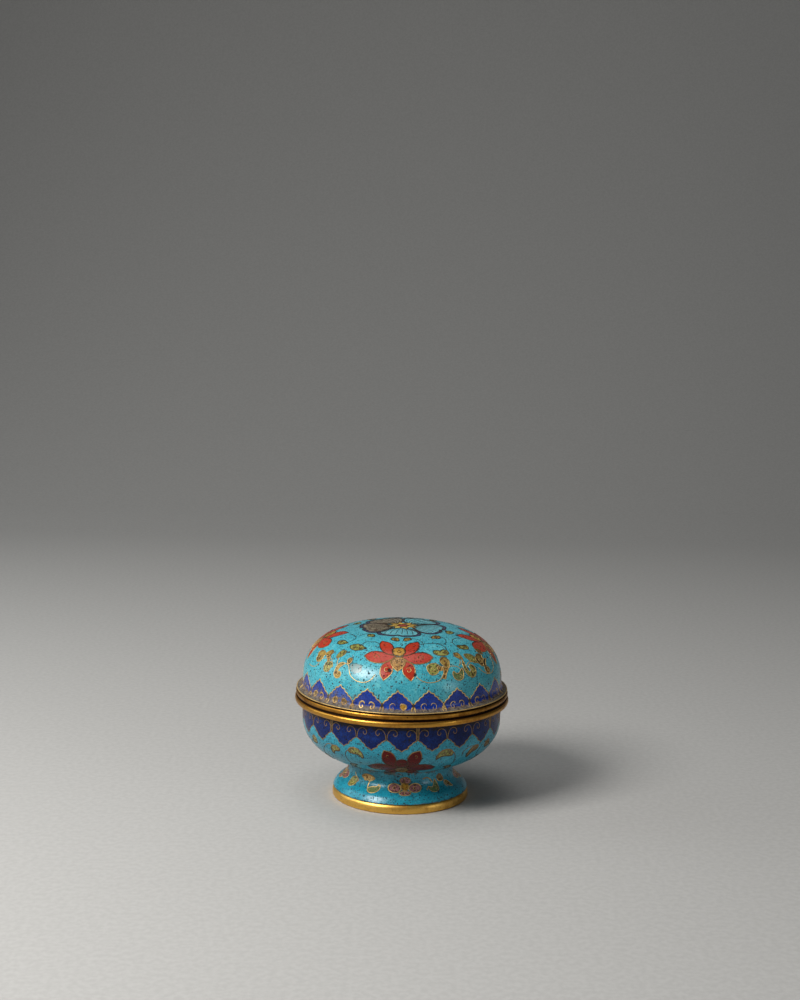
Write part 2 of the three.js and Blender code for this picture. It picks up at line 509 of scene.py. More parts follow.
# %% Turned meshes
def turn_outline(outline, side=1, count=RING_POINTS):
    """Points, faces and corner normals of an outline turned about the upright axis. Side is 1
    where the outline goes round its metal anticlockwise, and -1 where it goes clockwise."""
    outline = np.asarray(outline, float)
    before, after = corner_normals(outline, side)
    around = polar(1.0, ring_angles(count))
    points, rings = [], []
    for radius, height in outline:
        first = len(points)
        if rings and np.allclose((radius, height), outline[0]):
            rings.append(rings[0])
        elif radius < TINY:
            points.append((0, 0, height * MM))
            rings.append([first] * count)
        else:
            points += [(x * radius * MM, y * radius * MM, height * MM) for x, y in around]
            rings.append(list(range(first, first + count)))
    faces, normals = [], []
    for i, (radius, next_radius) in enumerate(zip(outline[:, 0], outline[1:, 0])):
        for j in range(count):
            k = (j + 1) % count
            corners = [(i, j, after), (i, k, after), (i + 1, k, before), (i + 1, j, before)]
            if radius < TINY:
                corners.pop(0)
            elif next_radius < TINY:
                corners.pop(2)
            if side < 0:
                corners.reverse()
            faces.append([rings[a][b] for a, b, _ in corners])
            normals += [(*(around[b] * kind[a][0]), kind[a][1]) for a, b, kind in corners]
    return np.array(points), faces, normals


print("a turned disc has", len(turn_outline(((1, 0), (0, 0)))[1]), "faces")

# %% [markdown]
# ## From sheet to enamelled piece
# Glass fills the cells and is ground to one smooth skin over the copper. The wrapped sheet and
# the turned inside go into one mesh. Shade Smooth alone would let the uneven triangles show in
# the reflections, so the sheet's normals come from the outline itself. The pits are pressed in
# after wrapping, and lose those smooth normals.


# %% Pieces, and what their points remember
root = "root"
ENAMEL_SLOT, GILT_SLOT = "cloisonne_enamel", "gilt_bronze"
scene_collection = bpy.context.scene.collection


def add_piece(name, mesh, slot, *nodes):
    """Every finished mesh becomes a piece that rides on the box and stands for its solids."""
    piece = bpy.data.objects.new(name, mesh)
    scene_collection.objects.link(piece)
    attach(piece, root)
    if nodes:
        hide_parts(*nodes)
    return piece


def remember(mesh, name, values):
    """Gives each point of a mesh a number that its finish can read."""
    values = np.asarray(values, np.float32)
    mesh.attributes.new(name, "FLOAT", "POINT").data.foreach_set("value", values)


print("material slots of the part:", ENAMEL_SLOT, GILT_SLOT)


# %% Pressing the pits
def hollow(reach):
    """Depth of a round pit: 1 in its middle, and 0 from its edge outwards."""
    return np.clip(1 - reach**2, 0, None) ** 0.5


def press_pits(design, sheet, points, normals):
    """Pushes the points round each pit into the metal, deepest in the middle."""
    for middle, radius, depth in design.pits:
        reach = np.hypot(*(sheet - middle).T) / radius
        points -= normals * (hollow(reach) * depth * MM)[:, None]
        normals[reach < 1] = 0  # a zero normal is worked out from the faces


print("depth of a pit in its middle, half way out and at its edge:",
      hollow(np.array((0, 0.5, 1))).round(2).tolist())


# %% Joining the edges
EDGE_GAP = 1e-3  # a sheet point within so many millimetres of the edge is on it
JOIN_GAP = 2e-5  # a turned point within so many metres of a sheet point is the same point


def snap_edge(skin, sheet):
    """Puts the edge points exactly on the ring that the turned inside also uses."""
    rho = np.hypot(*sheet.T)
    for edge in {skin.start, skin.start + skin.length} - {0.0}:
        on_edge = np.abs(rho - edge) < EDGE_GAP
        step = 2 * math.pi / RING_POINTS
        angle = np.round(np.arctan2(sheet[on_edge, 1], sheet[on_edge, 0]) / step) * step
        sheet[on_edge] = polar(edge, angle)


def skin_faces_outward(faces, points, normals):
    """Turns round the triangles that face into the metal."""
    a, b, c = (points[faces[:, i]] for i in range(3))
    flipped = (np.cross(b - a, c - a) * normals[faces[:, 0]]).sum(axis=1) < 0
    faces[flipped] = faces[flipped][:, ::-1]


def joined_to(points, turned_points):
    """Numbers for the turned points: a shared edge point keeps its number on the sheet."""
    tree = search_tree(points)
    numbers, extra = [], []
    for p in turned_points:
        _, nearest, gap = tree.find(p)
        if gap < JOIN_GAP:
            numbers.append(nearest)
        else:
            numbers.append(len(points) + len(extra))
            extra.append(p)
    return numbers, np.array(extra)


print("an edge point lies within", EDGE_GAP, "mm of the edge")


# %% The enamelled piece
def enamelled(name, design, inside_outlines, side, grime, node):
    """Cuts and wraps a design, turns the plain inside to meet it, and makes the piece."""
    sheet, skin_faces, on_wire = cut_sheet(design)
    snap_edge(design.skin, sheet)
    which, colours = colour_faces(design, sheet, skin_faces)
    points, normals = design.skin.wrap(sheet)
    skin_faces_outward(skin_faces, points, normals)
    # grime, with painted shade round the necks of bowl and foot
    grime_and_shade_at_points = grime(points / MM)
    # The painted shade under the bowl's band joins the dark edge beside the wires.
    on_wire = np.maximum(on_wire, design.painted_shade(points[:, 2] / MM))
    press_pits(design, sheet, points, normals)
    faces = [tuple(f) for f in skin_faces]
    corners = normals[skin_faces.ravel()].tolist()
    for outline in inside_outlines:
        turned, quads, quad_normals = turn_outline(outline, side)
        numbers, extra = joined_to(points, turned)
        faces += [tuple(numbers[i] for i in quad) for quad in quads]
        corners += [tuple(n) for n in quad_normals]
        points = np.vstack((points, extra))
    mesh = bpy.data.meshes.new(name)
    mesh.from_pydata(points.tolist(), [], faces)
    for colour in colours + ["counter"]:
        mesh.materials.append(enamels[colour])
    slots = np.full(len(faces), len(colours), np.int32)
    slots[:len(which)] = which
    mesh.polygons.foreach_set("material_index", slots)
    mesh.polygons.foreach_set("use_smooth", np.ones(len(faces), bool))
    for key, values in (("wire_soot_and_band_shade", on_wire), ("grime", grime_and_shade_at_points)):
        remember(mesh, key, np.pad(values, (0, len(points) - len(values))))
    mesh.normals_split_custom_set(corners)
    mesh.update()
    print(name, "faces:", len(faces), "colours:", colours)
    return add_piece(name, mesh, ENAMEL_SLOT, node)


# %% [markdown]
# ## The wires
# A cloison is a flat ribbon of brass on edge, polished flush and then gilt, and wear leaves it
# just proud of the glass. A bevelled curve object could follow the path but would twist on the
# dome, so each wire is built as a low rounded bar whose sides follow the surface. The runs that
# a later cell covers are left out.


# %% Runs of wire
WIRE_STEP = 0.5  # spacing of the points along a wire


def uncovered(path, is_loop, later_cells):
    """The runs of a path that no later cell covers, and whether each is a whole loop."""
    seen = np.ones(len(path), bool)
    for loop, _ in later_cells:
        low, high = loop.min(axis=0), loop.max(axis=0)
        near = np.flatnonzero(seen & ((path > low) & (path < high)).all(axis=1))
        seen[near[inside(path[near], loop)]] = False
    if seen.all():
        return [(path, is_loop)]
    if is_loop and seen[0]:
        shift = int(np.argmin(seen))
        path, seen = np.roll(path, -shift, axis=0), np.roll(seen, -shift)
    breaks = np.flatnonzero(np.diff(seen.astype(int))) + 1
    runs = np.split(np.arange(len(path)), breaks)
    return [(path[run], False) for run in runs if seen[run[0]] and len(run) > 2]


print("runs of a loop with nothing over it:", len(uncovered(oval(0, 0, 2, 1), True, ())))


# %% Bars along the runs
WIRE_HEIGHT = 0.09  # how far a wire stands above the glass
WIRE_SECTION = ((-0.5, -0.02), (-0.27, 1.0), (0.27, 1.0), (0.5, -0.02), (0.0, -1.2))
WIRE_END = 0.45  # width of a wire's cut end, as a share of its width


def bar_along(path, is_loop, width, skin):
    """A low rounded bar along a path on the sheet."""
    points, normals = skin.wrap(path)
    if is_loop:
        ahead = np.roll(points, -1, axis=0) - np.roll(points, 1, axis=0)
    else:
        ahead = np.gradient(points, axis=0)
    across = np.cross(ahead, normals)
    across /= np.maximum(np.linalg.norm(across, axis=1), TINY)[:, None]
    taper = np.ones(len(points))
    if not is_loop:
        taper[[0, -1]] = WIRE_END
    rows = [
        points + across * (x * width * MM * taper)[:, None] + normals * (z * WIRE_HEIGHT * MM)
        for x, z in WIRE_SECTION
    ]
    count, sides = len(points), len(WIRE_SECTION)
    faces = [
        (i * sides + s, i * sides + (s + 1) % sides,
         (i + 1) % count * sides + (s + 1) % sides, (i + 1) % count * sides + s)
        for i in range(count if is_loop else count - 1)
        for s in range(sides)
    ]
    if not is_loop:
        faces.append(tuple(range(sides))[::-1])
        faces.append(tuple(range((count - 1) * sides, count * sides)))
    return np.stack(rows, axis=1).reshape(-1, 3), faces


print("a wire stands", WIRE_HEIGHT, "mm above the glass")


# %% A piece's wirework
def wirework(name, design, darkening):
    """All the wires of a design as one piece. 'tarnish' gives their dullness by height."""
    corners, faces, first, length = [], [], 0, 0.0
    for path, is_loop, width, under in design.wires:
        cut = even(path, WIRE_STEP, is_loop)
        for run, whole in uncovered(cut, is_loop, design.cells[under:]):
            points, quads = bar_along(run, whole, width, design.skin)
            corners.append(points)
            faces += [tuple(first + i for i in quad) for quad in quads]
            first += len(points)
            length += len(run) * WIRE_STEP
    points = np.vstack(corners)
    mesh = bpy.data.meshes.new(name)
    mesh.from_pydata(points.tolist(), [], faces)
    mesh.materials.append(wire_gilding)
    mesh.shade_smooth()
    remember(mesh, "darkening", darkening(points[:, 2] / MM))
    print(name, "metres of wire:", round(length / 1000, 2), "faces:", len(faces))
    return add_piece(name, mesh, GILT_SLOT)


# %% [markdown]
# ## Finishes: helpers for the node trees
# The glass and the gilding vary from place to place: pits, clouds, soot, rubbed gold. Each of
# these is a procedural texture in millimetres, turned into a mask by a map range. Image
# textures would need a flat layout of the surface, and would blur when looked at closely.


# %% Colours for a shader
def rgb(red, green, blue):
    """A colour as seen on a screen, 0 to 255, as the linear values that shaders use."""
    parts = [c / 255 for c in (red, green, blue)]
    linear = [c / 12.92 if c <= 0.04045 else ((c + 0.055) / 1.055) ** 2.4 for c in parts]
    return (*linear, 1.0)


print("mid grey for a shader:", round(rgb(128, 128, 128)[0], 3))


# %% A material and its nodes
class Shader:
    """A material with its main shader, and short ways to set its sockets and join nodes."""

    def __init__(self, name, roughness, metallic=0.0):
        self.material = bpy.data.materials.new(name)
        self.material.use_nodes = True
        self.tree = self.material.node_tree
        self.shader = self.tree.nodes["Principled BSDF"]
        self.set(Roughness=roughness, Metallic=metallic)
        self.place = self.tree.nodes.new("ShaderNodeTexCoord").outputs["Object"]

    def set(self, **sockets):
        for name, value in sockets.items():
            self.shader.inputs[name.replace("_", " ")].default_value = value

    def link(self, source, socket):
        self.tree.links.new(source, self.shader.inputs[socket])

    def feed(self, socket, value):
        """Joins another node's output to a socket, or sets a number or a colour on it."""
        if isinstance(value, bpy.types.NodeSocket):
            self.tree.links.new(value, socket)
        else:
            socket.default_value = value

    def node(self, kind, **inputs):
        node = self.tree.nodes.new(kind)
        for name, value in inputs.items():
            self.feed(node.inputs[name.replace("_", " ")], value)
        return node


print("a material can:", [name for name in vars(Shader) if not name.startswith("_")])


# %% Clouds, spots, masks and dents
class Finish(Shader):
    """A material with short ways to make the textures and masks of its wear."""

    def noise(self, size, detail=3.0, roughness=0.55):
        """Clouds whose features are about 'size' millimetres across."""
        return self.node(
            "ShaderNodeTexNoise",
            Vector=self.place, Scale=1 / (size * MM), Detail=detail, Roughness=roughness,
        ).outputs["Fac"]

    def spots(self, spacing):
        """Scattered spots: how far the nearest one is, and a random number for each."""
        node = self.node("ShaderNodeTexVoronoi", Vector=self.place, Scale=1 / (spacing * MM))
        draw = self.node("ShaderNodeSeparateColor", Color=node.outputs["Color"])
        return node.outputs["Distance"], draw.outputs[0]

    def attribute(self, name):
        """What the points of the mesh remember."""
        node = self.node("ShaderNodeAttribute")
        node.attribute_name = name
        return node.outputs["Fac"]

    def mask(self, source, low, high, least=0.0, most=1.0):
        """Goes from 'least' to 'most' while its source goes from 'low' to 'high'."""
        node = self.node("ShaderNodeMapRange", Value=source)
        node.interpolation_type = "SMOOTHSTEP"
        ends = (("From Min", low), ("From Max", high), ("To Min", least), ("To Max", most))
        for name, value in ends:
            node.inputs[name].default_value = value
        return node.outputs["Result"]

    def combine(self, kind, a, b):
        """Adds, subtracts or multiplies two masks, or takes the larger."""
        node = self.node("ShaderNodeMath")
        node.operation = kind
        for socket, value in zip(node.inputs, (a, b)):
            self.feed(socket, value)
        return node.outputs[0]

    def blend(self, amount, under, over):
        """One colour laid over another where the mask 'amount' is 1."""
        node = self.node("ShaderNodeMix")
        node.data_type = "RGBA"
        # Mix has sockets for every kind of data: 0 is its factor, 6 and 7 are its two colours
        for i, value in ((0, amount), (6, under), (7, over)):
            self.feed(node.inputs[i], value)
        return node.outputs[2]

    def bump(self, height, distance, strength=1.0, under=None):
        """Dents 'distance' millimetres deep, laid over the dents 'under' them."""
        node = self.node("ShaderNodeBump", Height=height, Distance=distance * MM)
        node.inputs["Strength"].default_value = strength
        if under:
            self.tree.links.new(under, node.inputs["Normal"])
        return node.outputs["Normal"]


print("a finish can also make:", [name for name in vars(Finish) if not name.startswith("_")])

# %% [markdown]
# ## Enamel
# Old cloisonne glass is opaque, softly glossy and full of small pits, where bubbles were ground
# open and filled with dirt. Its colour drifts a little from batch to batch. One material could
# read every colour from the mesh, but with one for each glass they can wear differently. All
# get the same build: clouds of a lighter and a darker tone, two sizes of dark pits, a dark edge
# beside the wires that also carries the painted shade under the bowl's band, and grime where
# the piece remembers it, partly painted shade round the necks. The pits also dent the surface,
# and pits and grime are matt.


# %% The wear that every glass shares
# the colour of dirt in pits and beside the wires, and of the painted shade under the bowl's band
DIRT_AND_SHADE = rgb(30, 22, 15)
# tones of grime, which round the necks of bowl and foot also stand for painted shade
GRIME_AND_SHADE_TONE = rgb(114, 103, 89)
OLD_GRIME_AND_SHADE_TONE = rgb(78, 62, 50)
BURNT = rgb(72, 42, 24)
PIT_KINDS = ((1.1, 0.72, 0.36), (2.4, 0.5, 0.27))  # spacing in mm, share, radius in spacings
CROWDED_SIZE, RAGGED_SIZE, SMEAR_SIZE, OLD_SMEAR_SIZE = 9, 1.8, 2.6, 1.6  # mm across


def pitting(finish, pits):
    """Small dark pits of two sizes, more crowded in some places than in others."""
    crowded = finish.mask(finish.noise(CROWDED_SIZE, detail=3), 0.38, 0.62, -0.22, 0.3)
    holes = []
    for spacing, share, radius in PIT_KINDS:
        distance, draw = finish.spots(spacing)
        drawn = finish.combine("ADD", draw, crowded)
        there = finish.mask(drawn, 1 - share * pits, 1.02 - share * pits)
        hole = finish.mask(distance, radius, radius * 0.55)
        holes.append(finish.combine("MULTIPLY", there, hole))
    return finish.combine("MAXIMUM", *holes)


def soot_edge_and_band_shade(finish, edge):
    """A ragged dark edge of soot beside the wires, and on the bowl the painted shade under the
    band.
    """
    ragged = finish.mask(finish.noise(RAGGED_SIZE), 0.3, 0.7, -0.45, 0.3)
    soot_and_band_shade = finish.combine("ADD", finish.attribute("wire_soot_and_band_shade"), ragged)
    return finish.mask(soot_and_band_shade, 0.4, 1.0, 0, edge)


def smeared_grime(finish):
    """Where grime lies on the glass, partly painted shade round the necks, and its tone."""
    patches = finish.noise(SMEAR_SIZE, detail=6, roughness=0.72)
    smears = finish.mask(patches, 0.25, 0.75, -0.5, 0.5)
    grime = finish.mask(finish.combine("ADD", finish.attribute("grime"), smears), 0.35, 0.75)
    old = finish.mask(finish.noise(OLD_SMEAR_SIZE, detail=4), 0.38, 0.66)
    return grime, finish.blend(old, GRIME_AND_SHADE_TONE, OLD_GRIME_AND_SHADE_TONE)


print("sizes of pits:", len(PIT_KINDS))


# %% One kind of glass
GLASS_ROUGHNESS, DULL_ROUGHNESS = 0.28, 0.7
CLOUD_SIZE, MOTTLE_SIZE, SCORCH_SIZE, SWELL_SIZE = 6.0, 0.8, 1.7, 4.0  # mm across
SWELL_HEIGHT, PIT_DEPTH = 0.12, 0.14  # mm
GRIME_COVER, PIT_COVER, SCORCH_COVER = 0.93, 0.92, 0.85  # how much of the glass each hides


def enamel(name, base, light, dark, pits=0.5, edge=0.65, blotch=0.0, gloss=0.46):
    """Pits, edge and blotch go from 0 to 1: dark pits, wire soot and painted shade, burnt
    blotches.
    """
    finish = Finish(name, GLASS_ROUGHNESS)
    finish.set(Specular_IOR_Level=gloss)
    clouds = finish.noise(CLOUD_SIZE, detail=5, roughness=0.7)
    mottle = finish.noise(MOTTLE_SIZE, detail=4, roughness=0.68)
    tones = (
        # texture, where a tone starts and is full, how strong it is, and the tone
        (clouds, 0.5, 0.68, 0.8, light), (clouds, 0.46, 0.3, 0.6, dark),
        (mottle, 0.5, 0.64, 0.6, dark), (mottle, 0.48, 0.36, 0.6, light),
    )
    colour = base
    for drift, low, high, most, tone in tones:
        colour = finish.blend(finish.mask(drift, low, high, 0, most), colour, tone)
    if blotch:
        scorched = finish.noise(SCORCH_SIZE, detail=3, roughness=0.6)
        reach = 0.1 * blotch
        burnt = finish.mask(scorched, 0.62 - reach, 0.68 - reach, 0, SCORCH_COVER)
        colour = finish.blend(burnt, colour, BURNT)
    pit = pitting(finish, pits)
    grime, grime_tone = smeared_grime(finish)
    # dark soot beside the wires, and on the bowl the painted shade under the band
    colour = finish.blend(soot_edge_and_band_shade(finish, edge), colour, DIRT_AND_SHADE)
    colour = finish.blend(finish.combine("MULTIPLY", grime, GRIME_COVER), colour, grime_tone)
    colour = finish.blend(finish.combine("MULTIPLY", pit, PIT_COVER), colour, DIRT_AND_SHADE)
    finish.link(colour, "Base Color")
    dull = finish.combine("MAXIMUM", pit, grime)
    finish.link(finish.mask(dull, 0, 1, GLASS_ROUGHNESS, DULL_ROUGHNESS), "Roughness")
    swell = finish.bump(finish.noise(SWELL_SIZE, detail=2), SWELL_HEIGHT, 0.6)
    height = finish.combine("SUBTRACT", finish.combine("MULTIPLY", mottle, 0.2), pit)
    finish.link(finish.bump(height, PIT_DEPTH, 0.8, swell), "Normal")
    return finish.material


print("roughness of clean and of dull glass:", GLASS_ROUGHNESS, DULL_ROUGHNESS)

# %% [markdown]
# ## The palette
# Each glass is listed with its usual, its lighter and its darker tone. A list is easier to tune
# side by side than twenty separate materials. The last, the counter enamel, is for the inside,
# which can't be seen with the cover on: boxes of this kind are enamelled a plain turquoise
# there, so that glass on both faces keeps the copper from warping.

# %% The palette
GLASS = {
    # the usual, the lighter and the darker tone, and where it differs from the usual wear
    "turquoise": ((66, 164, 180), (104, 190, 196), (30, 124, 142), {"pits": 0.75}),
    # painted shade: the bowl's and the foot's turquoise, a deeper tone darkened further as shade
    "lake": ((26, 138, 160), (56, 164, 186), (8, 92, 112), {"pits": 0.8}),
    "cobalt": ((10, 48, 140), (28, 72, 170), (8, 26, 88), {"pits": 0.4, "edge": 0.9}),
    # painted shade: the bowl's blue, darker than the cobalt partly for the band's shadow
    "ink_blue_with_painted_shade": (
        (4, 28, 84), (16, 50, 118), (4, 14, 46), {"pits": 0.4, "edge": 0.9, "gloss": 0.2}),
    "paler_cobalt": ((44, 78, 156), (88, 112, 180), (20, 52, 120), {"pits": 0.4}),
    "red": ((170, 48, 25), (186, 68, 42), (136, 32, 18), {"pits": 0.3}),
    # painted shade: the bowl's red, darker than the red partly for shade
    "oxblood": ((84, 4, 2), (108, 14, 8), (42, 4, 4), {"gloss": 0.2}),
    "ochre": ((178, 132, 40), (194, 152, 60), (134, 88, 28), {"pits": 0.7, "blotch": 0.5}),
    "pod": ((168, 124, 64), (188, 146, 84), (126, 80, 38), {"pits": 0.8, "blotch": 0.7}),
    "olive": ((140, 142, 70), (168, 166, 96), (90, 90, 42), {"pits": 0.8, "blotch": 1.0}),
    "aubergine": ((48, 56, 90), (64, 76, 110), (36, 34, 60), {}),
    "pale_turquoise": ((90, 172, 184), (130, 194, 198), (54, 138, 154), {}),
    "yellow": ((208, 170, 70), (222, 194, 98), (158, 112, 40), {"edge": 0.3}),
    "worn": ((126, 118, 100), (158, 148, 120), (84, 80, 64), {"pits": 0.9, "blotch": 0.8}),
    "pink": ((164, 106, 108), (186, 136, 134), (104, 58, 52), {"pits": 0.9, "blotch": 0.9}),
    "umber": ((112, 88, 42), (140, 118, 60), (66, 48, 26), {"pits": 0.6, "blotch": 0.8}),
    "green": ((106, 124, 76), (132, 146, 98), (64, 82, 46), {"pits": 0.6, "blotch": 0.5}),
    "amber": ((170, 128, 64), (194, 154, 88), (110, 72, 34), {"pits": 0.9, "blotch": 1.0}),
    "gold": ((158, 130, 62), (180, 156, 88), (104, 76, 34), {"pits": 0.8, "blotch": 1.0}),
    "rose_grey": ((112, 148, 148), (146, 150, 146), (78, 150, 158), {"pits": 0.5, "edge": 0.2}),
    "counter": ((70, 158, 172), (92, 176, 188), (44, 132, 150), {"pits": 0.3, "edge": 0.0}),
}
enamels = {
    colour: enamel(f"{colour}_enamel", *(rgb(*tone) for tone in tones), **wear)
    for colour, (*tones, wear) in GLASS.items()
}
print("enamel colours:", len(enamels))

# %% [markdown]
# ## Pit bottoms
# The biggest pits are hollows in the mesh. Their bottoms show burnt glass and old dirt. A darker
# glass would still shine there, so they get a rough finish of their own.

# %% Pit bottoms
pit_floor = Finish("pit_bottom", 0.8)
burnt_glass = pit_floor.blend(pit_floor.noise(0.6), rgb(13, 9, 7), rgb(46, 28, 15))
pit_floor.link(burnt_glass, "Base Color")
pit_floor.link(pit_floor.bump(pit_floor.noise(0.4), 0.2), "Normal")
enamels["pit"] = pit_floor.material
print("finish of the pits:", pit_floor.material.name)

# %% [markdown]
# ## Gilding
# Fire gilding is a thin skin of gold over bronze. It stays bright on the edges that hands
# polish and goes brown where it has worn to bronze, and its crevices are painted nearly black
# as shade. Gold, bronze and this painted shade could be materials on faces of their own, but
# wear has no such sharp borders. So one metal shader does all three, with its colour and
# roughness led by clouds of wear.


# %% Gilt bronze
# the second colour is the painted shade in the bands' crevices, and also the darkest wires
BROWN_SPOT, DARKENED_GILT = rgb(84, 44, 22), rgb(34, 22, 13)
WORN_ROUGHNESS = 0.55
SPOT_SPACING, STREAK_SIZE, GRAIN_SIZE = 3.0, 1.2, 1.1  # mm
GRAIN_HEIGHT, WAVE_HEIGHT = 0.02, 0.15  # mm
SPOT_COVER = 0.75  # how much of the gold a brown spot hides


def gilt(name, bright, worn, wear, cloud=12.0, roughness=0.36, spotted=0.5, metallic=1.0):
    """Wear and spotted go from 0 to 1. A cloud of wear is 'cloud' millimetres across."""
    finish = Finish(name, roughness, metallic)
    clouds = finish.noise(cloud, detail=6, roughness=0.66)
    darkening = finish.attribute("darkening")
    clouded = finish.combine("ADD", clouds, darkening)
    rubbed = finish.mask(clouded, 0.62 - 0.35 * wear, 0.84 - 0.35 * wear)
    distance, draw = finish.spots(SPOT_SPACING)
    chance = 0.5 * spotted
    drawn = finish.mask(draw, 1 - chance, 1.06 - chance)
    spot = finish.combine("MULTIPLY", finish.mask(distance, 0.22, 0.08), drawn)
    colour = finish.blend(rubbed, bright, worn)
    streaks = finish.mask(finish.noise(STREAK_SIZE, detail=4), 0.5, 0.75, 0, 0.5)
    colour = finish.blend(streaks, colour, worn)
    colour = finish.blend(finish.combine("MULTIPLY", spot, SPOT_COVER), colour, BROWN_SPOT)
    # painted shade in the bands' crevices, and wires darkened by height
    colour = finish.blend(finish.mask(darkening, 0.5, 1.0), colour, DARKENED_GILT)
    finish.link(colour, "Base Color")
    dull = finish.combine("MAXIMUM", rubbed, spot)
    finish.link(finish.mask(dull, 0, 1, roughness, WORN_ROUGHNESS), "Roughness")
    height = finish.combine("SUBTRACT", finish.noise(GRAIN_SIZE, detail=4), spot)
    waves = finish.bump(clouds, WAVE_HEIGHT, 0.25)
    finish.link(finish.bump(height, GRAIN_HEIGHT, 0.5, waves), "Normal")
    return finish.material


band_gilding = gilt("band_gilding", rgb(198, 146, 62), rgb(148, 96, 36), 0.45, spotted=0.3)
# painted shade: the cover's band is a darker copy of the band gilding
shaded_lid_gilding = gilt(
    "shaded_lid_gilding", rgb(176, 126, 50), rgb(124, 80, 28), 0.5, roughness=0.4, spotted=0.3)
foot_gilding = gilt(
    "foot_gilding", rgb(236, 188, 94), rgb(186, 128, 54), 0.34, roughness=0.42)
wire_gilding = gilt(
    "wire_gilding", rgb(214, 180, 114), rgb(150, 116, 66), 0.3, 9.0, 0.46, metallic=0.6)
enamels["bare"] = gilt("bare_gilding", rgb(226, 190, 124), rgb(120, 84, 48), 0.6, cloud=2.0)
print("gilt finishes:", [m.name for m in bpy.data.materials if m.name.endswith("gilding")])

# %% [markdown]
# ## The lotus
# Four red lotus flowers stand round the cover, each with an ochre disc, a pod, and six petals.
# The same flower, darker, returns on the bowl. It is drawn once, as right halves that are
# mirrored, and laid down eight times, so all flowers match as well as a careful wire bender's.

# %% Lotus flowers
UPPER_PETAL = closed(
    [(2.6, 1.2), (2.9, 5.2), (3.4, 9.4), (5.6, 12.8), (9.9, 14.2)],
    [(9.9, 14.2), (10.9, 10.6), (10.0, 6.0), (7.0, 2.6), (2.6, 1.2)],
)
SIDE_PETAL = closed(
    [(1.2, 0.7), (5.0, 1.9), (9.2, 3.5), (12.8, 3.7), (16.2, 2.2), (18.9, -0.5)],
    [(18.9, -0.5), (16.6, -3.2), (12.4, -4.4), (8.0, -4.1), (4.6, -2.2), (1.2, 0.7)],
)
LOWER_PETAL = closed(
    [(3.4, -2.0), (7.2, -4.2), (9.1, -7.2), (9.2, -11.0), (7.4, -14.1)],
    [(7.4, -14.1), (4.4, -11.6), (2.7, -8.4), (3.4, -2.0)],
)
POD = both_sides(strokes([(0, 0.3), (2.6, -0.5), (3.9, -3.0), (2.9, -6.0), (0, -8.8)]))
PETAL_CURLS = (
    # middle, radius, first angle and turn of the spiral in each petal
    (12.2, -0.2, 1.9, 200, -330), (7.6, 10.4, 1.3, 250, 260), (5.9, -8.2, 1.7, 150, -340),
)


def lotus(design, azimuth, down, size=1.0, petal="red", disc="ochre", pod="pod"):
    """Six petals with a spiral in each, then the disc, and the pod over its lower half."""
    mirrored = [(side * size, size) for side in (1, -1)]
    for outline in (SIDE_PETAL, UPPER_PETAL, LOWER_PETAL):
        for scale in mirrored:
            design.cell(outline * scale, petal, azimuth, down)
    for spiral in PETAL_CURLS:
        for scale in mirrored:
            design.wire(curl(*spiral) * scale, azimuth, down, WIRE * 0.8)
    design.cell(oval(0, 4.7 * size, 3.6 * size, 3.7 * size), disc, azimuth, down)
    design.wire(oval(0.2, 4.4 * size, 1.1 * size, 0.9 * size), azimuth, down, WIRE * 0.7)
    design.cell(POD * size, pod, azimuth, down, WIRE * 1.5)
    design.wire(curl(0, -3.5 * size, 1.9 * size, 80, -400), azimuth, down, WIRE * 0.8)


print("a lotus is", round(2 * SIDE_PETAL[:, 0].max(), 1), "mm across")

# %% [markdown]
# ## Leaves and vines
# Vines with curled leaves run between the flowers. They were bent by hand, no two alike. A rule
# could scatter them, but it would look too even, so their shapes are drawn as a small stock,
# and each leaf and vine is then given its own place on half the cover. The other half repeats
# them.

# %% Leaf outlines
TWO_LOBES = closed(
    [(-4.6, -0.2), (-3.9, 1.6), (-1.9, 2.2), (0.3, 1.4)],
    [(0.3, 1.4), (2.0, 2.5), (4.1, 2.0), (4.8, 0.1), (3.6, -1.8), (0.6, -2.3), (-2.9, -2.0),
     (-4.6, -0.2)],
)
ALMOND = closed(
    [(-4.8, 0.2), (-2.6, 1.9), (0.4, 2.3), (3.0, 1.2), (5.2, 0.3)],
    [(5.2, 0.3), (2.8, -1.7), (-0.6, -2.4), (-3.4, -1.7), (-4.8, 0.2)],
)
ROUND = closed(
    [(-3.6, -0.4), (-3.1, 1.9), (-0.8, 2.9), (1.8, 2.6), (3.5, 0.8)],
    [(3.5, 0.8), (2.3, -0.4), (1.7, -2.3)],
    [(1.7, -2.3), (-0.6, -3.2), (-2.8, -2.4), (-3.6, -0.4)],
)
CUP = closed(
    [(-2.9, 1.3), (-3.5, -0.8), (-2.3, -3.2), (0.4, -3.9), (3.0, -2.6), (3.7, 0.6), (3.1, 3.2)],
    [(3.1, 3.2), (1.7, 1.5), (0.5, 0.2), (-1.2, -0.1), (-2.9, 1.3)],
)
CRADLE = closed(
    [(-1.7, 6.0), (-3.3, 2.6), (-3.1, -1.2), (-0.9, -4.0), (2.2, -4.3), (4.1, -2.0), (3.8, 0.9),
     (1.7, 2.3)],
    [(1.7, 2.3), (0.3, 0.9), (0.9, -0.9), (-0.4, -1.7), (-1.5, 0.2), (-1.9, 2.8), (-1.7, 6.0)],
)
SHOE = closed(
    [(2.6, 4.8), (-0.4, 4.5), (-2.7, 2.2), (-2.9, -1.0), (-2.5, -3.8), (-0.3, -5.4),
     (2.2, -4.4), (2.7, -2.3), (1.2, -0.9)],
    [(1.2, -0.9), (-0.1, -1.4), (-0.5, -0.1), (0.3, 2.1), (2.6, 4.8)],
)
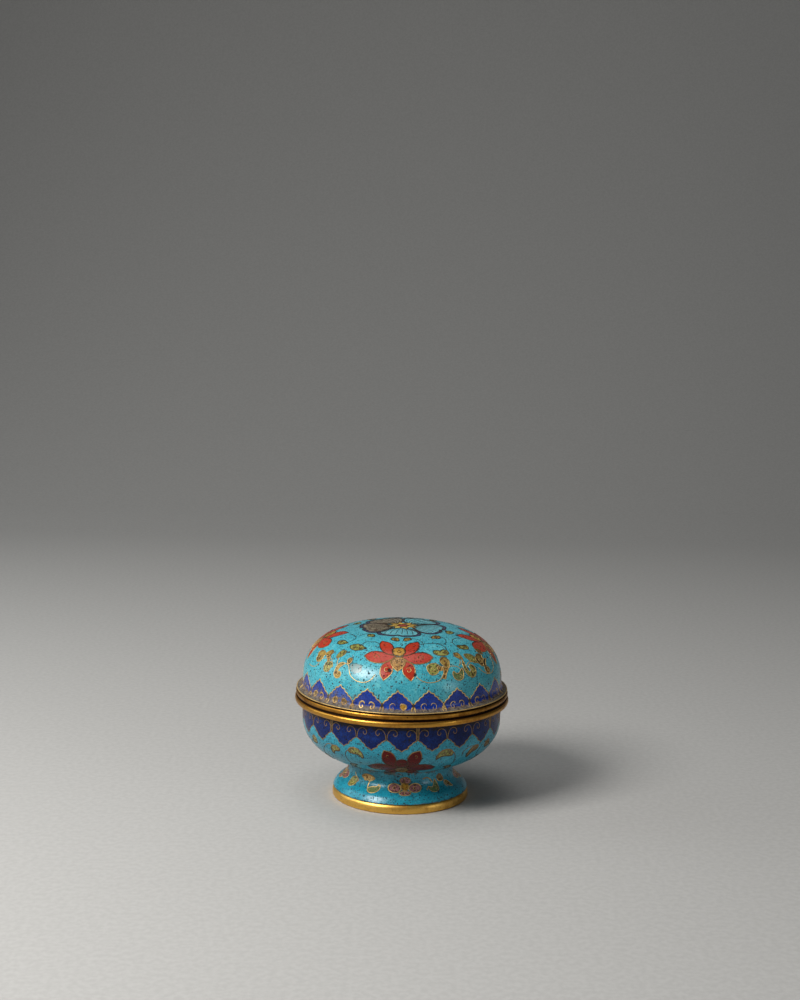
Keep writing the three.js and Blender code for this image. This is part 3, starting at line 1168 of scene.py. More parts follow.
TRUNK = closed(
    [(-1.3, -4.8), (-0.9, -1.4), (-1.4, 1.6), (-2.7, 3.2)],
    [(-2.7, 3.2), (-0.4, 3.3), (1.7, 4.8)],
    [(1.7, 4.8), (1.5, 1.6), (1.1, -1.4), (1.4, -4.8)],
    [(1.4, -4.8), (-1.3, -4.8)],
)
BUD = both_sides(strokes([(0, 2.8), (1.7, 1.5), (1.8, -0.3), (0.5, -2.8)]))
print("a two-lobed leaf is", round(np.ptp(TWO_LOBES[:, 0]), 1), "mm long")

# %% The stock of leaves
LEAF_SHAPES = {
    # outline, and the small spirals of wire that stand in it
    "two": (TWO_LOBES, ((-2.5, 0, 1.0, 60, 320), (2.6, 0.1, 1.2, 120, -320))),
    "almond": (ALMOND, ((-1.7, 0.1, 1.1, 200, 330), (1.6, 0, 0.9, 20, -300))),
    "round": (ROUND, ((-0.9, -0.1, 1.4, 200, 360),)),
    "cup": (CUP, ((1.4, -1.6, 1.2, 120, -330),)),
    "cradle": (CRADLE, ((2.0, -1.5, 1.3, 150, -360),)),
    "shoe": (SHOE, ((0.5, -3.2, 1.1, 60, 360),)),
    "trunk": (TRUNK, ()),
    "bud": (BUD, ((0, 0.5, 0.8, 270, 330),)),
    "arch": (leaf(10.5, 3.8, -150), ((-2.6, -0.8, 1.0, 20, 330),)),
}


def sprig(design, azimuth, down, shape, size, turn, flip, colour, width=WIRE):
    """A curled leaf: its cell and the small spirals of wire in its lobes."""
    outline, spirals = LEAF_SHAPES[shape]
    scale = (size * flip, size)
    design.cell(turned_by(outline * scale, turn), colour, azimuth, down, width)
    for spiral in spirals:
        design.wire(turned_by(curl(*spiral) * scale, turn), azimuth, down, WIRE * 0.65)


print("leaf shapes:", sorted(LEAF_SHAPES))

# %% The cover's leaves
COVER_LEAVES = (
    # degrees round, millimetres down, shape, size, turn, flip, colour
    (-8.2, 28.6, "bud", 1.05, 40, 1, "gold"),
    (4.6, 28.2, "bud", 1.0, -40, 1, "gold"),
    (28.8, 43.6, "two", 0.96, -6, 1, "olive"),
    (-37.0, 41.2, "almond", 1.12, 0, 1, "olive"),
    (51.8, 42.4, "two", 0.82, -18, 1, "olive"),
    (-55.4, 40.6, "almond", 0.82, 10, 1, "olive"),
    (39.6, 28.2, "bud", 1.2, -80, 1, "gold"),
    (-39.5, 27.2, "bud", 1.0, 70, 1, "olive"),
    (69.3, 27.6, "bud", 1.2, -80, 1, "olive"),
    (40.4, 47.4, "bud", 1.0, 32, 1, "gold"),
    (19.4, 53.6, "round", 1.08, 10, 1, "olive"),
    (28.2, 50.4, "bud", 1.35, 8, 1, "gold"),
    (26.2, 56.0, "trunk", 0.8, -26, 1, "amber"),
    (23.6, 53.8, "bud", 0.7, 70, 1, "amber"),
    (34.6, 57.6, "cup", 0.98, -8, 1, "green"),
    (43.9, 56.2, "cradle", 1.08, -4, 1, "olive"),
    (50.6, 50.8, "almond", 1.05, -42, 1, "olive"),
    (58.2, 53.0, "round", 1.15, 20, 1, "umber"),
    (61.0, 57.2, "shoe", 0.85, -16, 1, "umber"),
    (63.5, 48.6, "bud", 0.9, 30, 1, "umber"),
    (-45.2, 48.4, "bud", 1.15, -28, 1, "olive"),
    (-55.9, 50.0, "bud", 1.05, -62, 1, "gold"),
    (-53.0, 53.4, "trunk", 0.8, 34, 1, "amber"),
    (-63.6, 53.4, "round", 1.15, 0, -1, "gold"),
    (-49.8, 57.4, "round", 0.98, 0, 1, "olive"),
    (-40.4, 57.4, "shoe", 0.9, -4, 1, "gold"),
    (-35.4, 51.4, "bud", 0.72, 10, 1, "umber"),
)
print("leaves for half the cover:", len(COVER_LEAVES))

# %% The cover's vines
COVER_VINES = (
    # each a path of (degrees round, millimetres down)
    ((9.6, 36.2), (14, 34.8), (20.5, 34.4), (31, 35), (38.5, 36.7), (44.9, 33.3), (46.5, 29.2),
     (43, 26)),
    ((31.5, 35.2), (34.2, 37.6), (35.6, 40), (35.0, 42.4)),
    ((17.8, 36.3), (18.9, 33.3), (17.8, 30), (14, 28), (8.3, 27)),
    ((-19.5, 35.8), (-26.2, 34), (-31.8, 34.6), (-35.2, 36.2), (-35.6, 38.6)),
    ((-50, 38.4), (-48.8, 35.2), (-52.2, 32.7), (-59, 32), (-66, 32.2)),
    ((47, 41.7), (46.8, 38.7), (48.6, 36.2), (53.4, 34.3), (59.7, 34.2), (64, 35.8)),
    ((7.2, 55.8), (8.8, 58.3), (12, 60.4), (16.2, 61.2), (21.6, 60.2), (24.7, 57), (26.9, 54.2),
     (31, 53.1), (35.3, 53.9), (37.4, 55.8)),
    ((-15.8, 57), (-18.2, 60.4), (-22, 62.1), (-26.7, 61.8), (-31, 59.6), (-33.1, 56.7),
     (-34.7, 54.2), (-37.9, 53.3), (-41.6, 54.6), (-43.5, 57)),
    ((50, 53.2), (46, 52.7), (42.6, 54.4)),
    ((40, 50), (38.8, 52.2), (37.2, 53.6)),
    ((52, 57), (54.5, 59.6), (58.5, 61.5), (63.5, 62.1), (68, 60.5), (70.6, 57.5), (71.3, 54)),
    ((-71.8, 60.7), (-67, 60.8), (-62.8, 60), (-60.4, 57.9), (-59.1, 55), (-55.4, 53.3),
     (-50.6, 52.9), (-47.6, 55)),
    ((-45, 51), (-44.4, 53), (-43.4, 55)),
    ((-41, 25.5), (-46, 25.6), (-50, 27.5), (-51, 31)),
)
print("vines for half the cover:", len(COVER_VINES))

# %% [markdown]
# ## The flower on the crown
# On the crown lies one large flower seen from above: five lobed petals, edged in dark aubergine
# and pale inside, round a ring of yellow petals and a red middle. Two petals have lost their
# polish and gone grey. The sheet's middle is the crown itself, so the petals are simply turned
# about it.

# %% Crown flower
CROWN_PETAL = both_sides(strokes(
    [(0, 22.6), (2.6, 24.0), (5.6, 23.4)],
    [(5.6, 23.4), (9.6, 22.2), (12.0, 19.0), (11.2, 14.6), (7.2, 9.8), (2.2, 6.0)],
))
PALE_PART = (CROWN_PETAL - (0, 14.5)) * (0.85, 0.86) + (0, 14.2)  # inside the dark edge
YELLOW_PETAL = both_sides(strokes([(0, 9.0), (1.7, 5.8), (2.2, 4.0), (1.0, 1.6)]))
YELLOW_PETALS, YELLOW_FIRST = 8, -78  # how many, and the angle of the first
CROWN_PETALS = (
    # angle on the sheet, colour
    (-97, "pale_turquoise"), (-20, "pale_turquoise"), (55, "pale_turquoise"), (125, "worn"),
    (195, "worn"),
)
VEINS = (-1.0, -0.6, -0.2, 0.2, 0.6, 1.0)  # how far each vein leans to the side


def crown_flower(design):
    for angle, colour in CROWN_PETALS:
        design.add_cell(turned_by(CROWN_PETAL, angle - 90), "aubergine", WIRE)
        design.add_cell(turned_by(PALE_PART, angle - 90), colour, WIRE)
        for lean in VEINS:
            vein = smooth([(lean * 2.0, 7.8), (lean * 6.4, 12.6), (lean * 8.0, 19.8)])
            design.add_wire(turned_by(vein, angle - 90), False, WIRE * 0.8)
    for i in range(YELLOW_PETALS):
        angle = i * 360 / YELLOW_PETALS + YELLOW_FIRST
        design.add_cell(turned_by(YELLOW_PETAL, angle), "yellow", WIRE)
    design.add_cell(turned_by(oval(0, 0, 3.0, 3.0), -90), "red", WIRE)


print("crown petals:", [colour for _, colour in CROWN_PETALS])

# %% [markdown]
# ## The border of lappets
# Along the lower edge runs a border of twenty-one pointed cobalt lappets, each with a pair of
# hooked wires, and a short gilt strip where some of them meet. A lappet is one half outline,
# mirrored. An Array modifier could repeat it, but then all would be alike, and how the hooks
# were filled varies from lappet to lappet. So a loop lays them, and a table tells the filling.

# %% The cover's lappets
LAPPETS = 21
LAPPET_WIRE = 0.62  # the border's wires are stouter
LAPPET_PITCH = 360 / LAPPETS
COVER_LAPPET = strokes(
    [(0, 11.4), (1.2, 10.0), (2.9, 9.5)],
    [(2.9, 9.5), (3.4, 8.3), (4.9, 7.5)],
    [(4.9, 7.5), (5.4, 6.3), (6.8, 5.6), (8.0, 3.8)],
    [(8.0, 3.8), (7.7, 2.4), (7.6, 1.0), (7.8, -0.4)],
)
COVER_HOOK = smooth([
    (1.2, 3.2), (1.8, 4.3), (3.2, 4.3), (4.2, 3.2), (4.0, 1.6), (3.0, 0.9), (2.2, 1.6),
    (2.6, 2.6)])
LAPPET_GAP = ((-0.9, -0.4), (0.9, -0.4), (0.7, 2.0), (0.3, 4.6), (-0.3, 4.6), (-0.7, 2.0))
GAP_STRIP = ((0, 0.6), (0, 4.2))
STOUT = 0.8  # width of a clumsy hook's wire
BORDER_BASE = 76.6
PALER_LAPPET = 19
# how the left and the right hook of each lappet are filled, going round from the front
HOOK_FILLS = (
    (None, "ochre"), (None, None), (None, None), ("stout", None), (None, "stout"), (None, None),
    ("ochre", None), (None, None), ("stout", "stout"), (None, None), (None, "ochre"),
    (None, None), (None, None), ("ochre", None), (None, None), ("stout", None), (None, None),
    (None, None), ("umber", "stout"), ("umber", "umber"), ("stout", "stout"),
)


def cover_border(design, first):
    for i, fills in enumerate(HOOK_FILLS):
        azimuth = first + i * LAPPET_PITCH
        blue = "paler_cobalt" if i == PALER_LAPPET else "cobalt"
        design.cell(both_sides(COVER_LAPPET), blue, azimuth, BORDER_BASE, 0)
        design.wire(open_arch(COVER_LAPPET), azimuth, BORDER_BASE, LAPPET_WIRE)
        for side, fill in zip((-1, 1), fills):
            width = STOUT if fill == "stout" else WIRE * 0.9
            if fill in enamels:
                design.cell(oval(side * 3.1, 2.7, 1.7, 1.5), fill, azimuth, BORDER_BASE)
            design.wire(COVER_HOOK * (side, 1), azimuth, BORDER_BASE, width)
    for i in range(LAPPETS):
        azimuth = first + (i + 0.5) * LAPPET_PITCH
        design.cell(LAPPET_GAP, "umber", azimuth, BORDER_BASE, 0)
        if i % 3 == 1:
            design.wire(GAP_STRIP, azimuth, BORDER_BASE, 0.9)


print("lappets:", LAPPETS, "one every", round(LAPPET_PITCH, 2), "degrees")

# %% [markdown]
# ## Laying out the cover
# A later cell covers an earlier one, so the order is that of the real work seen from below:
# first the vines, then the flowers, leaves, crown and border, and the pits last of all.

# %% The cover's design
COVER_PITS = (
    # degrees round, millimetres down, radius
    (-7.8, 54.2, 1.2), (-63.2, 54.6, 0.9), (7.6, 56.8, 0.8), (14.6, 36.4, 0.6),
    (-34.8, 48.4, 0.5), (-40.2, 45.8, 0.45), (68.3, 53.6, 0.7), (171.4, 54, 0.8), (120, 50, 0.6),
)
COVER_LOTUSES, COVER_LOTUS_DOWN = (-2.9, 85, 177.1, -89), 46
COVER_FIRST = -2.3  # azimuth of the front lappet
cover_design = Design(cover_skin, "turquoise")
for half_turn in (0, 180):
    for path in COVER_VINES:
        cover_design.scroll(path, half_turn)
for azimuth in COVER_LOTUSES:
    lotus(cover_design, azimuth, COVER_LOTUS_DOWN)
for half_turn in (0, 180):
    for azimuth, down, *shape in COVER_LEAVES:
        sprig(cover_design, azimuth + half_turn, down, *shape)
    cover_design.cell(ROUND * (-1.15, 0.85), "rose_grey", half_turn - 29.6, 55.0, 0)
crown_flower(cover_design)
cover_border(cover_design, COVER_FIRST)
for pit in COVER_PITS:
    cover_design.pit(*pit)
print("cover cells and wires:", len(cover_design.cells), len(cover_design.wires))

# %% [markdown]
# ## Building the cover
# The sheet is cut and wrapped, and the inside is turned to meet it. Soot and old polish lie in
# the hollow moulding above the gilt band and on the feet of the lappets, so the grime grows
# from the lappets' shoulders down to the edge. The wires are darker towards the crown, and a
# little darker near the edge.


# %% Where the cover is grimy and its wires dark
def ramp(values, low, high):
    """0 at low, 1 at high, smooth between."""
    t = np.clip((np.asarray(values) - low) / (high - low), 0, 1)
    return t * t * (3 - 2 * t)


def cover_grime(points):
    """How much grime lies on points given in millimetres: clean at 0, hidden at 1."""
    height, left = points[:, 2], ramp(-points[:, 0], -4, 30)
    on_lappets = (0.16 + 0.46 * left) * ramp(height, 73.5, 66.5)
    return on_lappets + 1.25 * ramp(height, 64.9, 62.9) - 0.14


def cover_wire_darkening(height):
    """How dark a wire is at a height in millimetres: bright at 0, black at 1."""
    return 0.92 * ramp(height, 84.5, 92) + 0.16 * ramp(height, 68.5, 65)


print("tarnish of the wires at the side and the crown:", cover_wire_darkening(75), cover_wire_darkening(95))

# %% The enamelled cover
COVER_BORE = COVER_RADIUS - WALL
inside_dome = shoulder(
    COVER_BORE, COVER_SPRING, COVER_TOP - COVER_SPRING - WALL, DOME_FULLNESS, 40)
cover_end = cover_outline[-1]
cover_inside = np.vstack((
    cover_end,
    (cover_end[0], LIP_UNDER + 0.06),
    (cover_end[0] - 0.1, LIP_UNDER),
    (COVER_BORE + 0.3, LIP_UNDER),
    (COVER_BORE, LIP_UNDER + 0.3),
    inside_dome,
))
enamelled("cover_enamel", cover_design, (cover_inside,), -1, cover_grime, "cover")
wirework("cover_wires", cover_design, cover_wire_darkening)

# %% [markdown]
# ## The bowl
# The bowl mirrors the cover: hanging lappets under the band, a darker red lotus on each side
# and arched leaves between. The glass is a deeper blue-green. Its turquoise, blue and red are
# all darker than on the cover, partly their own tone and partly painted shade. Below the turn
# of the wall the scrolls are plainer.

# %% The bowl's border
BOWL_POINT = strokes(
    [(0, -13.4), (1.4, -12.2), (3.4, -11.4)],
    [(3.4, -11.4), (3.6, -10.2), (5.2, -9.2)],
    [(5.2, -9.2), (6.0, -8.2), (8.1, -7.0)],
)
BOWL_LAPPET = np.vstack((BOWL_POINT, (8.5, -6.4), (8.5, 0.4), (0, 0.4)))
BOWL_HOOK = smooth([
    (8.1, -7.0), (7.7, -4.0), (6.5, -1.9), (4.8, -1.2), (3.1, -1.9), (2.5, -3.6), (3.4, -4.7),
    (4.5, -4.1), (4.3, -3.1)])
BOWL_GAP = ((-0.75, 0.3), (0.75, 0.3), (0.6, -6.6), (-0.6, -6.6))
BOWL_FIRST, BAND_REACH = 0.4, 0.9  # azimuth of the front lappet, and how far under the band


def bowl_border(design):
    for i in range(LAPPETS):
        azimuth = BOWL_FIRST + i * LAPPET_PITCH
        design.cell(both_sides(BOWL_LAPPET), "ink_blue_with_painted_shade", azimuth, BAND_REACH, 0)
        design.wire(open_arch(BOWL_POINT), azimuth, BAND_REACH)
        for side in (1, -1):
            design.wire(BOWL_HOOK * (side, 1), azimuth, BAND_REACH, WIRE * 0.75)
    for i in range(0, LAPPETS, 3):
        azimuth = BOWL_FIRST + (i + 0.5) * LAPPET_PITCH
        design.cell(BOWL_GAP, "umber", azimuth, BAND_REACH, WIRE * 0.8)


print("a hanging lappet is", round(np.ptp(BOWL_LAPPET[:, 1]), 1), "mm high")

# %% The bowl's leaves and vines
BOWL_LEAVES = (
    # degrees round, millimetres down, shape, size, turn, flip, colour
    (-26.3, 17.6, "arch", 1.1, -20, 1, "olive"),
    (25.4, 17.6, "arch", 1.2, 10, -1, "olive"),
    (-42.0, 18.6, "arch", 0.95, 30, -1, "olive"),
    (46.3, 19.0, "arch", 1.1, 40, -1, "umber"),
    (60.6, 17.0, "bud", 1.2, 60, 1, "umber"),
    (-61.0, 16.8, "bud", 1.2, -60, 1, "olive"),
    (-33.5, 31.0, "arch", 0.9, 60, 1, "umber"),
    (33.5, 31.5, "arch", 0.9, -60, -1, "umber"),
    (-58.0, 29.5, "round", 0.9, 40, 1, "umber"),
    (60.0, 29.0, "round", 0.9, -40, -1, "umber"),
)
BOWL_VINES = (
    ((-28, 15.8), (-32, 16.6), (-34.6, 20), (-35, 25), (-33.6, 29)),
    ((27, 15.6), (31, 16.2), (33.6, 20), (35, 25), (34, 29.5)),
    ((-41, 15.8), (-46, 15.4), (-51, 18.4), (-55.5, 23), (-60, 29)),
    ((39, 21), (38.4, 18), (41, 15.8), (45.5, 14.8)),
    ((56, 15.8), (53, 19), (53.5, 23), (58, 26)),
    ((-36, 33.5), (-30, 37.5), (-18, 39.5), (-8, 38)),
    ((36, 33.5), (30, 37.5), (18, 39.5), (8, 38)),
    ((-66, 18), (-72, 22), (-74, 27), (-68, 31)),
    ((66, 19), (72, 22), (74, 27), (68, 31)),
)
print("leaves and vines for half the bowl:", len(BOWL_LEAVES), len(BOWL_VINES))

# %% The bowl's design
BOWL_LOTUSES, BOWL_LOTUS_DOWN, BOWL_LOTUS_SIZE = (0.5, 90.5, 180.5, -89.5), 27.6, 0.98
bowl_design = Design(bowl_skin, "lake")
for half_turn in (0, 180):
    for path in BOWL_VINES:
        bowl_design.scroll(path, half_turn)
for azimuth in BOWL_LOTUSES:
    lotus(bowl_design, azimuth, BOWL_LOTUS_DOWN, BOWL_LOTUS_SIZE, "oxblood", "oxblood", "umber")
for half_turn in (0, 180):
    for azimuth, down, *shape in BOWL_LEAVES:
        sprig(bowl_design, azimuth + half_turn, down, *shape, width=WIRE * 1.4)
bowl_border(bowl_design)
print("bowl cells and wires:", len(bowl_design.cells), len(bowl_design.wires))

# %% [markdown]
# ## Building the bowl
# Shade is painted on the glass right under the gilt band, and grime with painted shade lies round
# the neck of the foot. The wires are darker towards the underside. The inside keeps an even
# distance from the outside and ends in a flat floor, and a flat seat closes the bowl below.


# %% Painted shade and grime on the bowl, and where its wires are darker
def bowl_band_shade(height):
    """Painted shade just under the gilt band: none at 0, black at 1."""
    return 1.1 * ramp(height, 50.2, 52.8)


# Grime and painted shade round the neck, where the bowl hangs over the foot.
def bowl_grime(points):
    return 0.8 * ramp(np.hypot(points[:, 0], points[:, 1]), 36, 30) - 0.1


def bowl_wire_darkening(height):
    return 0.3 + 0.56 * ramp(height, 43, 35)


bowl_design.painted_shade = bowl_band_shade
print("soot under the band:", bowl_band_shade(BOWL_TOP), "and below it:", bowl_band_shade(50))

# %% The enamelled bowl
bowl_floor = BOWL_UNDER + WALL
bowl_hollow = shoulder(
    BOWL_RADIUS - WALL, BOWL_TURN, -(BOWL_DEPTH - WALL), BOWL_FULLNESS, 48)
bowl_hollow = bowl_hollow[bowl_hollow[:, 1] > bowl_floor + 0.02]
bowl_inside = np.vstack((
    (BOWL_RADIUS, BOWL_TOP), (BOWL_RADIUS - WALL, BOWL_TOP), bowl_hollow,
    (NECK_RADIUS - 1.5, bowl_floor), (0, bowl_floor),
))
bowl_seat = ((0, BOWL_UNDER), (12, BOWL_UNDER), (NECK_RADIUS, BOWL_UNDER))
enamelled("bowl_enamel", bowl_design, (bowl_inside, bowl_seat), 1, bowl_grime, "bowl")
wirework("bowl_wires", bowl_design, bowl_wire_darkening)

# %% [markdown]
# ## The foot
# The foot splays from a narrow neck. Four small flowers with mauve petals stand round it, each
# between two scrolls that end in a green knob, and the lower half is left plain turquoise.

# %% The foot's leaves, vines and flowers
FOOT_SCROLL_LEAF = both_sides(strokes(
    [(0, 1.9), (2.6, 1.5), (4.6, 0.2)],
    [(4.6, 0.2), (3.4, -0.6), (1.6, -1.6), (0, -1.2)],
))
FOOT_LEAVES = (
    # degrees round, millimetres down, shape, size, turn, flip, colour
    (-55.4, 9.4, "round", 1.0, 10, 1, "olive"),
    (35.4, 8.8, "cup", 0.95, 16, 1, "green"),
    (47.6, 5.2, "bud", 1.0, 60, 1, "umber"),
    (57.2, 9.8, "almond", 0.6, -50, 1, "umber"),
)
FOOT_VINES = (
    ((-33.5, 6.2), (-34.8, 8), (-34.2, 10.2), (-31, 12), (-26.5, 12.4), (-23.4, 10.8)),
    ((24.5, 4.2), (29, 3.6), (33.4, 4.6), (36, 6.8)),
    ((27.5, 10.8), (28.4, 9.2), (30.6, 9.2)),
    ((-58.5, 4.2), (-56, 5.6), (-53.6, 6.4)),
    ((53.5, 7), (51.6, 9), (53, 11.4)),
)
FLOWER_PETALS = (
    # middle, half width, half height
    (5.7, -0.9, 3.5, 2.6), (-5.7, -0.9, 3.5, 2.6), (0.3, 3.3, 2.9, 1.8), (0, -4.0, 3.2, 1.5))


def foot_flower(design, azimuth, down):
    for x, y, across, high in FLOWER_PETALS:
        design.cell(oval(x, y, across, high), "pink", azimuth, down, WIRE * 1.3)
        design.wire(curl(x, y, high * 0.5, 40, 300), azimuth, down, WIRE * 0.7)
    design.cell(oval(0, 0, 2.2, 2.2), "ochre", azimuth, down, WIRE * 1.1)


print("leaves and vines for half the foot:", len(FOOT_LEAVES), len(FOOT_VINES))

# %% The foot's design
FOOT_FLOWERS, FOOT_FLOWER_DOWN = (4.6, 94.6, 184.6, -88.0), 7.8
foot_design = Design(foot_skin, "lake")
for azimuth in FOOT_FLOWERS:
    foot_flower(foot_design, azimuth, FOOT_FLOWER_DOWN)
for half_turn in (0, 180):
    for path in FOOT_VINES:
        foot_design.scroll(path, half_turn, WIRE * 1.5)
    for azimuth, down, *shape in FOOT_LEAVES:
        sprig(foot_design, azimuth + half_turn, down, *shape)
    foot_design.cell(FOOT_SCROLL_LEAF, "bare", half_turn - 37.0, 4.9, WIRE * 1.3)
    knob = turned_by(leaf(9.0, 4.4, 150), 20)
    foot_design.cell(knob, "green", half_turn - 26.6, 10.0, WIRE * 1.3)
print("foot cells and wires:", len(foot_design.cells), len(foot_design.wires))

# %% [markdown]
# ## Building the foot
# The foot is open underneath, so its turned inside runs from the ring up to the bowl's seat. A
# Solidify modifier could give the wall, but it would repeat every cut of the cells on the inside.
# Grime with painted shade sits in the corner at the neck and in a thin line above the ring.


# %% The enamelled foot
# Grime with painted shade at the neck under the bowl and in the corner above the ring.
def foot_grime(points):
    at_neck = ramp(points[:, 2], 17.5, 20.5)
    at_ring = ramp(points[:, 2], 6.4, 5.5)
    return 0.75 * at_neck + 0.6 * at_ring - 0.12


def foot_wire_darkening(height):
    return 0.3 * ramp(height, 12, 19)


neck_bore = NECK_RADIUS - FOOT_WALL
foot_bore = bezier((
    (neck_bore, BOWL_UNDER), (neck_bore, 10.82), (30.4, 7.44), (FOOT_EDGE - FOOT_WALL, FOOT_UNDER),
))
foot_inside = np.vstack((
    (FOOT_EDGE, FOOT_UNDER), foot_bore[::-3], (neck_bore, BOWL_UNDER), (NECK_RADIUS, BOWL_UNDER)))
enamelled("foot_enamel", foot_design, (foot_inside,), -1, foot_grime, "foot")
wirework("foot_wires", foot_design, foot_wire_darkening)

# %% [markdown]
# ## Gilt bands
# Four turned pieces of gilt bronze: the cover's thin lip, the band below it, the bowl's band
# with the collar that keeps the cover centred, and the ring the box stands on. Each is a closed
# outline turned about the axis. A metal edge is seen by the thin highlight that runs along it,
# so the edges are rounded by many small steps. A Bevel modifier would round them all alike.


# %% Rounded edges
HALF_ROUND_FULLNESS = 0.95  # 1 would be half an oval, and less is squarer


def rounded(radius, height, corner, start, end, steps=7):
    """An arc about a middle, between two angles in degrees."""
    return polar(corner, np.radians(np.linspace(start, end, steps))) + (radius, height)


def half_round(radius, low, high, depth, steps=21):
    """A bulging face between two heights."""
    angle = np.radians(np.linspace(-90, 90, steps))
    across = np.cos(angle).clip(0) ** HALF_ROUND_FULLNESS
    up = np.sign(np.sin(angle)) * np.abs(np.sin(angle)) ** HALF_ROUND_FULLNESS
    return np.column_stack((
        radius - depth + depth * across, (low + high) / 2 + (high - low) / 2 * up))


def soft_shoulder(radius, low, high, depth, steps=19):
    """A quarter of an oval, from the widest point in to the top."""
    angle = np.radians(np.linspace(0, 90, steps))
    return np.column_stack((
        radius - depth + depth * np.cos(angle), low + (high - low) * np.sin(angle)))


print("a rounded edge has", len(rounded(10, 0, 0.8, -90, 0)), "points")


# %% Turning a band
CREVICE_SHADE_SPREAD = 0.25  # how far the painted shade reaches out of a crevice


def crevice(points, low, high):
    """Painted shade: 1 in the corner between two heights, fading out just outside it."""
    outside = np.maximum(low - points[:, 2], points[:, 2] - high)
    return ramp(outside, CREVICE_SHADE_SPREAD, 0.0)


def band(name, outline, finish, dark, *nodes):
    """A turned piece of gilt bronze. 'dark' lists the heights between which shade is painted."""
    outline = np.vstack((outline, outline[:1]))
    points, faces, normals = turn_outline(outline)
    mesh = bpy.data.meshes.new(name)
    mesh.from_pydata(points.tolist(), [], faces)
    mesh.materials.append(finish)
    mesh.polygons.foreach_set("use_smooth", np.ones(len(faces), bool))
    # the painted shade of the crevices, which the gilt finish reads
    remember(mesh, "darkening", np.max([crevice(points / MM, *span) for span in dark], axis=0))
    mesh.normals_split_custom_set([tuple(n) for n in normals])
    print(name, "from", round(outline[:, 1].min(), 2), "to", round(outline[:, 1].max(), 2), "mm")
    return add_piece(name, mesh, GILT_SLOT, *nodes)


print("soot reaches", CREVICE_SHADE_SPREAD, "mm out of a crevice")

# %% Heights and radii of the bands
GROOVE_ABOVE, GROOVE_BELOW, GROOVE_DEPTH = 0.25, 0.7, 1.6
LIP_BOTTOM, BAND_TOP = LIP_UNDER - 0.45, LIP_UNDER - 0.95
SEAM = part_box("cover_rim")[0][2] / MM
COVER_BAND_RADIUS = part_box("cover_rim")[1][0] / MM
BOWL_BAND_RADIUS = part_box("bowl_rim")[1][0] / MM
COLLAR_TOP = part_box("bowl_rim")[1][2] / MM
COLLAR_RADIUS, COLLAR_BORE = 52.3, 50.7
RING_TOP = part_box("foot_ring")[1][2] / MM
RING_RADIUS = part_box("foot_ring")[1][0] / MM - FOOT_TRIM
RING_BORE = RING_RADIUS - 2.9
print("seam at", round(SEAM, 2), "mm, collar up to", round(COLLAR_TOP, 2), "mm")

# %% The outlines of lip, bands and ring, anticlockwise
lip = np.vstack((
    (COVER_BORE + 0.3, LIP_BOTTOM),
    rounded(LIP_RADIUS - 0.25, LIP_BOTTOM + 0.25, 0.25, -90, 0, 4),
    rounded(LIP_RADIUS - 0.3, LIP_UNDER - 0.2, 0.3, 0, 90, 6)[1:],  # starts where the last ends
    (cover_end[0] - 0.1, LIP_UNDER + 0.1),
    (cover_end[0] - 0.2, LIP_UNDER - 0.01),
    (COVER_BORE + 0.3, LIP_UNDER - 0.01),
))
cover_band = np.vstack((
    (COVER_BORE, SEAM),
    (COVER_BAND_RADIUS - GROOVE_DEPTH, SEAM),
    (COVER_BAND_RADIUS - GROOVE_DEPTH + 0.2, SEAM + GROOVE_ABOVE),
    half_round(COVER_BAND_RADIUS, SEAM + GROOVE_ABOVE, BAND_TOP, 1.1),
    (COVER_BAND_RADIUS - 1.3, BAND_TOP),
    (COVER_BAND_RADIUS - 1.4, LIP_BOTTOM - 0.01),
    (COVER_BORE, LIP_BOTTOM - 0.01),
))
bowl_band = np.vstack((
    (COLLAR_BORE, BOWL_TOP),
    half_round(BOWL_BAND_RADIUS, BOWL_TOP, SEAM - GROOVE_BELOW, 1.2),
    (BOWL_BAND_RADIUS - GROOVE_DEPTH + 0.3, SEAM - GROOVE_BELOW),
    (BOWL_BAND_RADIUS - GROOVE_DEPTH, SEAM),
    (COLLAR_RADIUS, SEAM),
    rounded(COLLAR_RADIUS - 0.4, COLLAR_TOP - 0.4, 0.4, 0, 90, 4),
    rounded(COLLAR_BORE + 0.4, COLLAR_TOP - 0.4, 0.4, 90, 180, 4),
))
foot_ring = np.vstack((
    rounded(RING_BORE + 0.3, 0.3, 0.3, 180, 270, 4),
    rounded(RING_RADIUS - 0.8, 0.8, 0.8, -90, 0),
    soft_shoulder(RING_RADIUS, 2.4, RING_TOP, 2.2),
    rounded(RING_BORE + 0.3, RING_TOP - 0.3, 0.3, 90, 180, 4),
))
print("points of the band outlines:", [len(o) for o in (lip, cover_band, bowl_band, foot_ring)])

# %% The four gilt pieces
# Heights where shade is painted on the gilt: the seam's groove, under the lip, the ring's edges,
# and the lower edges of the lip and the bowl's band.
in_seam = (SEAM - GROOVE_BELOW + 0.02, SEAM + GROOVE_ABOVE)
under_lip = (BAND_TOP - 0.08, LIP_UNDER)
ring_edges = ((0, 0.1), (RING_TOP - 0.1, RING_TOP))
band("cover_lip", lip, wire_gilding, ((0, LIP_BOTTOM + 0.05),))
band("cover_band", cover_band, shaded_lid_gilding, (in_seam, under_lip), "cover_rim")
band("bowl_band", bowl_band, band_gilding, (in_seam, (0, BOWL_TOP + 0.1)), "bowl_rim")
band("foot_band", foot_ring, foot_gilding, ring_edges, "foot_ring")

# %% [markdown]
# ## The table
# The box stands on a sheet of pale paper that curves up behind it, as in a small studio. A flat
# floor and a wall would meet in a line behind the box, and the curve hides that line.


# %% Floor
PAPER_HALF_WIDTH, PAPER_FRONT, PAPER_TOP = 6.0, -4.0, 5.0
CURVE_START, CURVE_RADIUS, CURVE_STEPS = 0.9, 1.1, 12


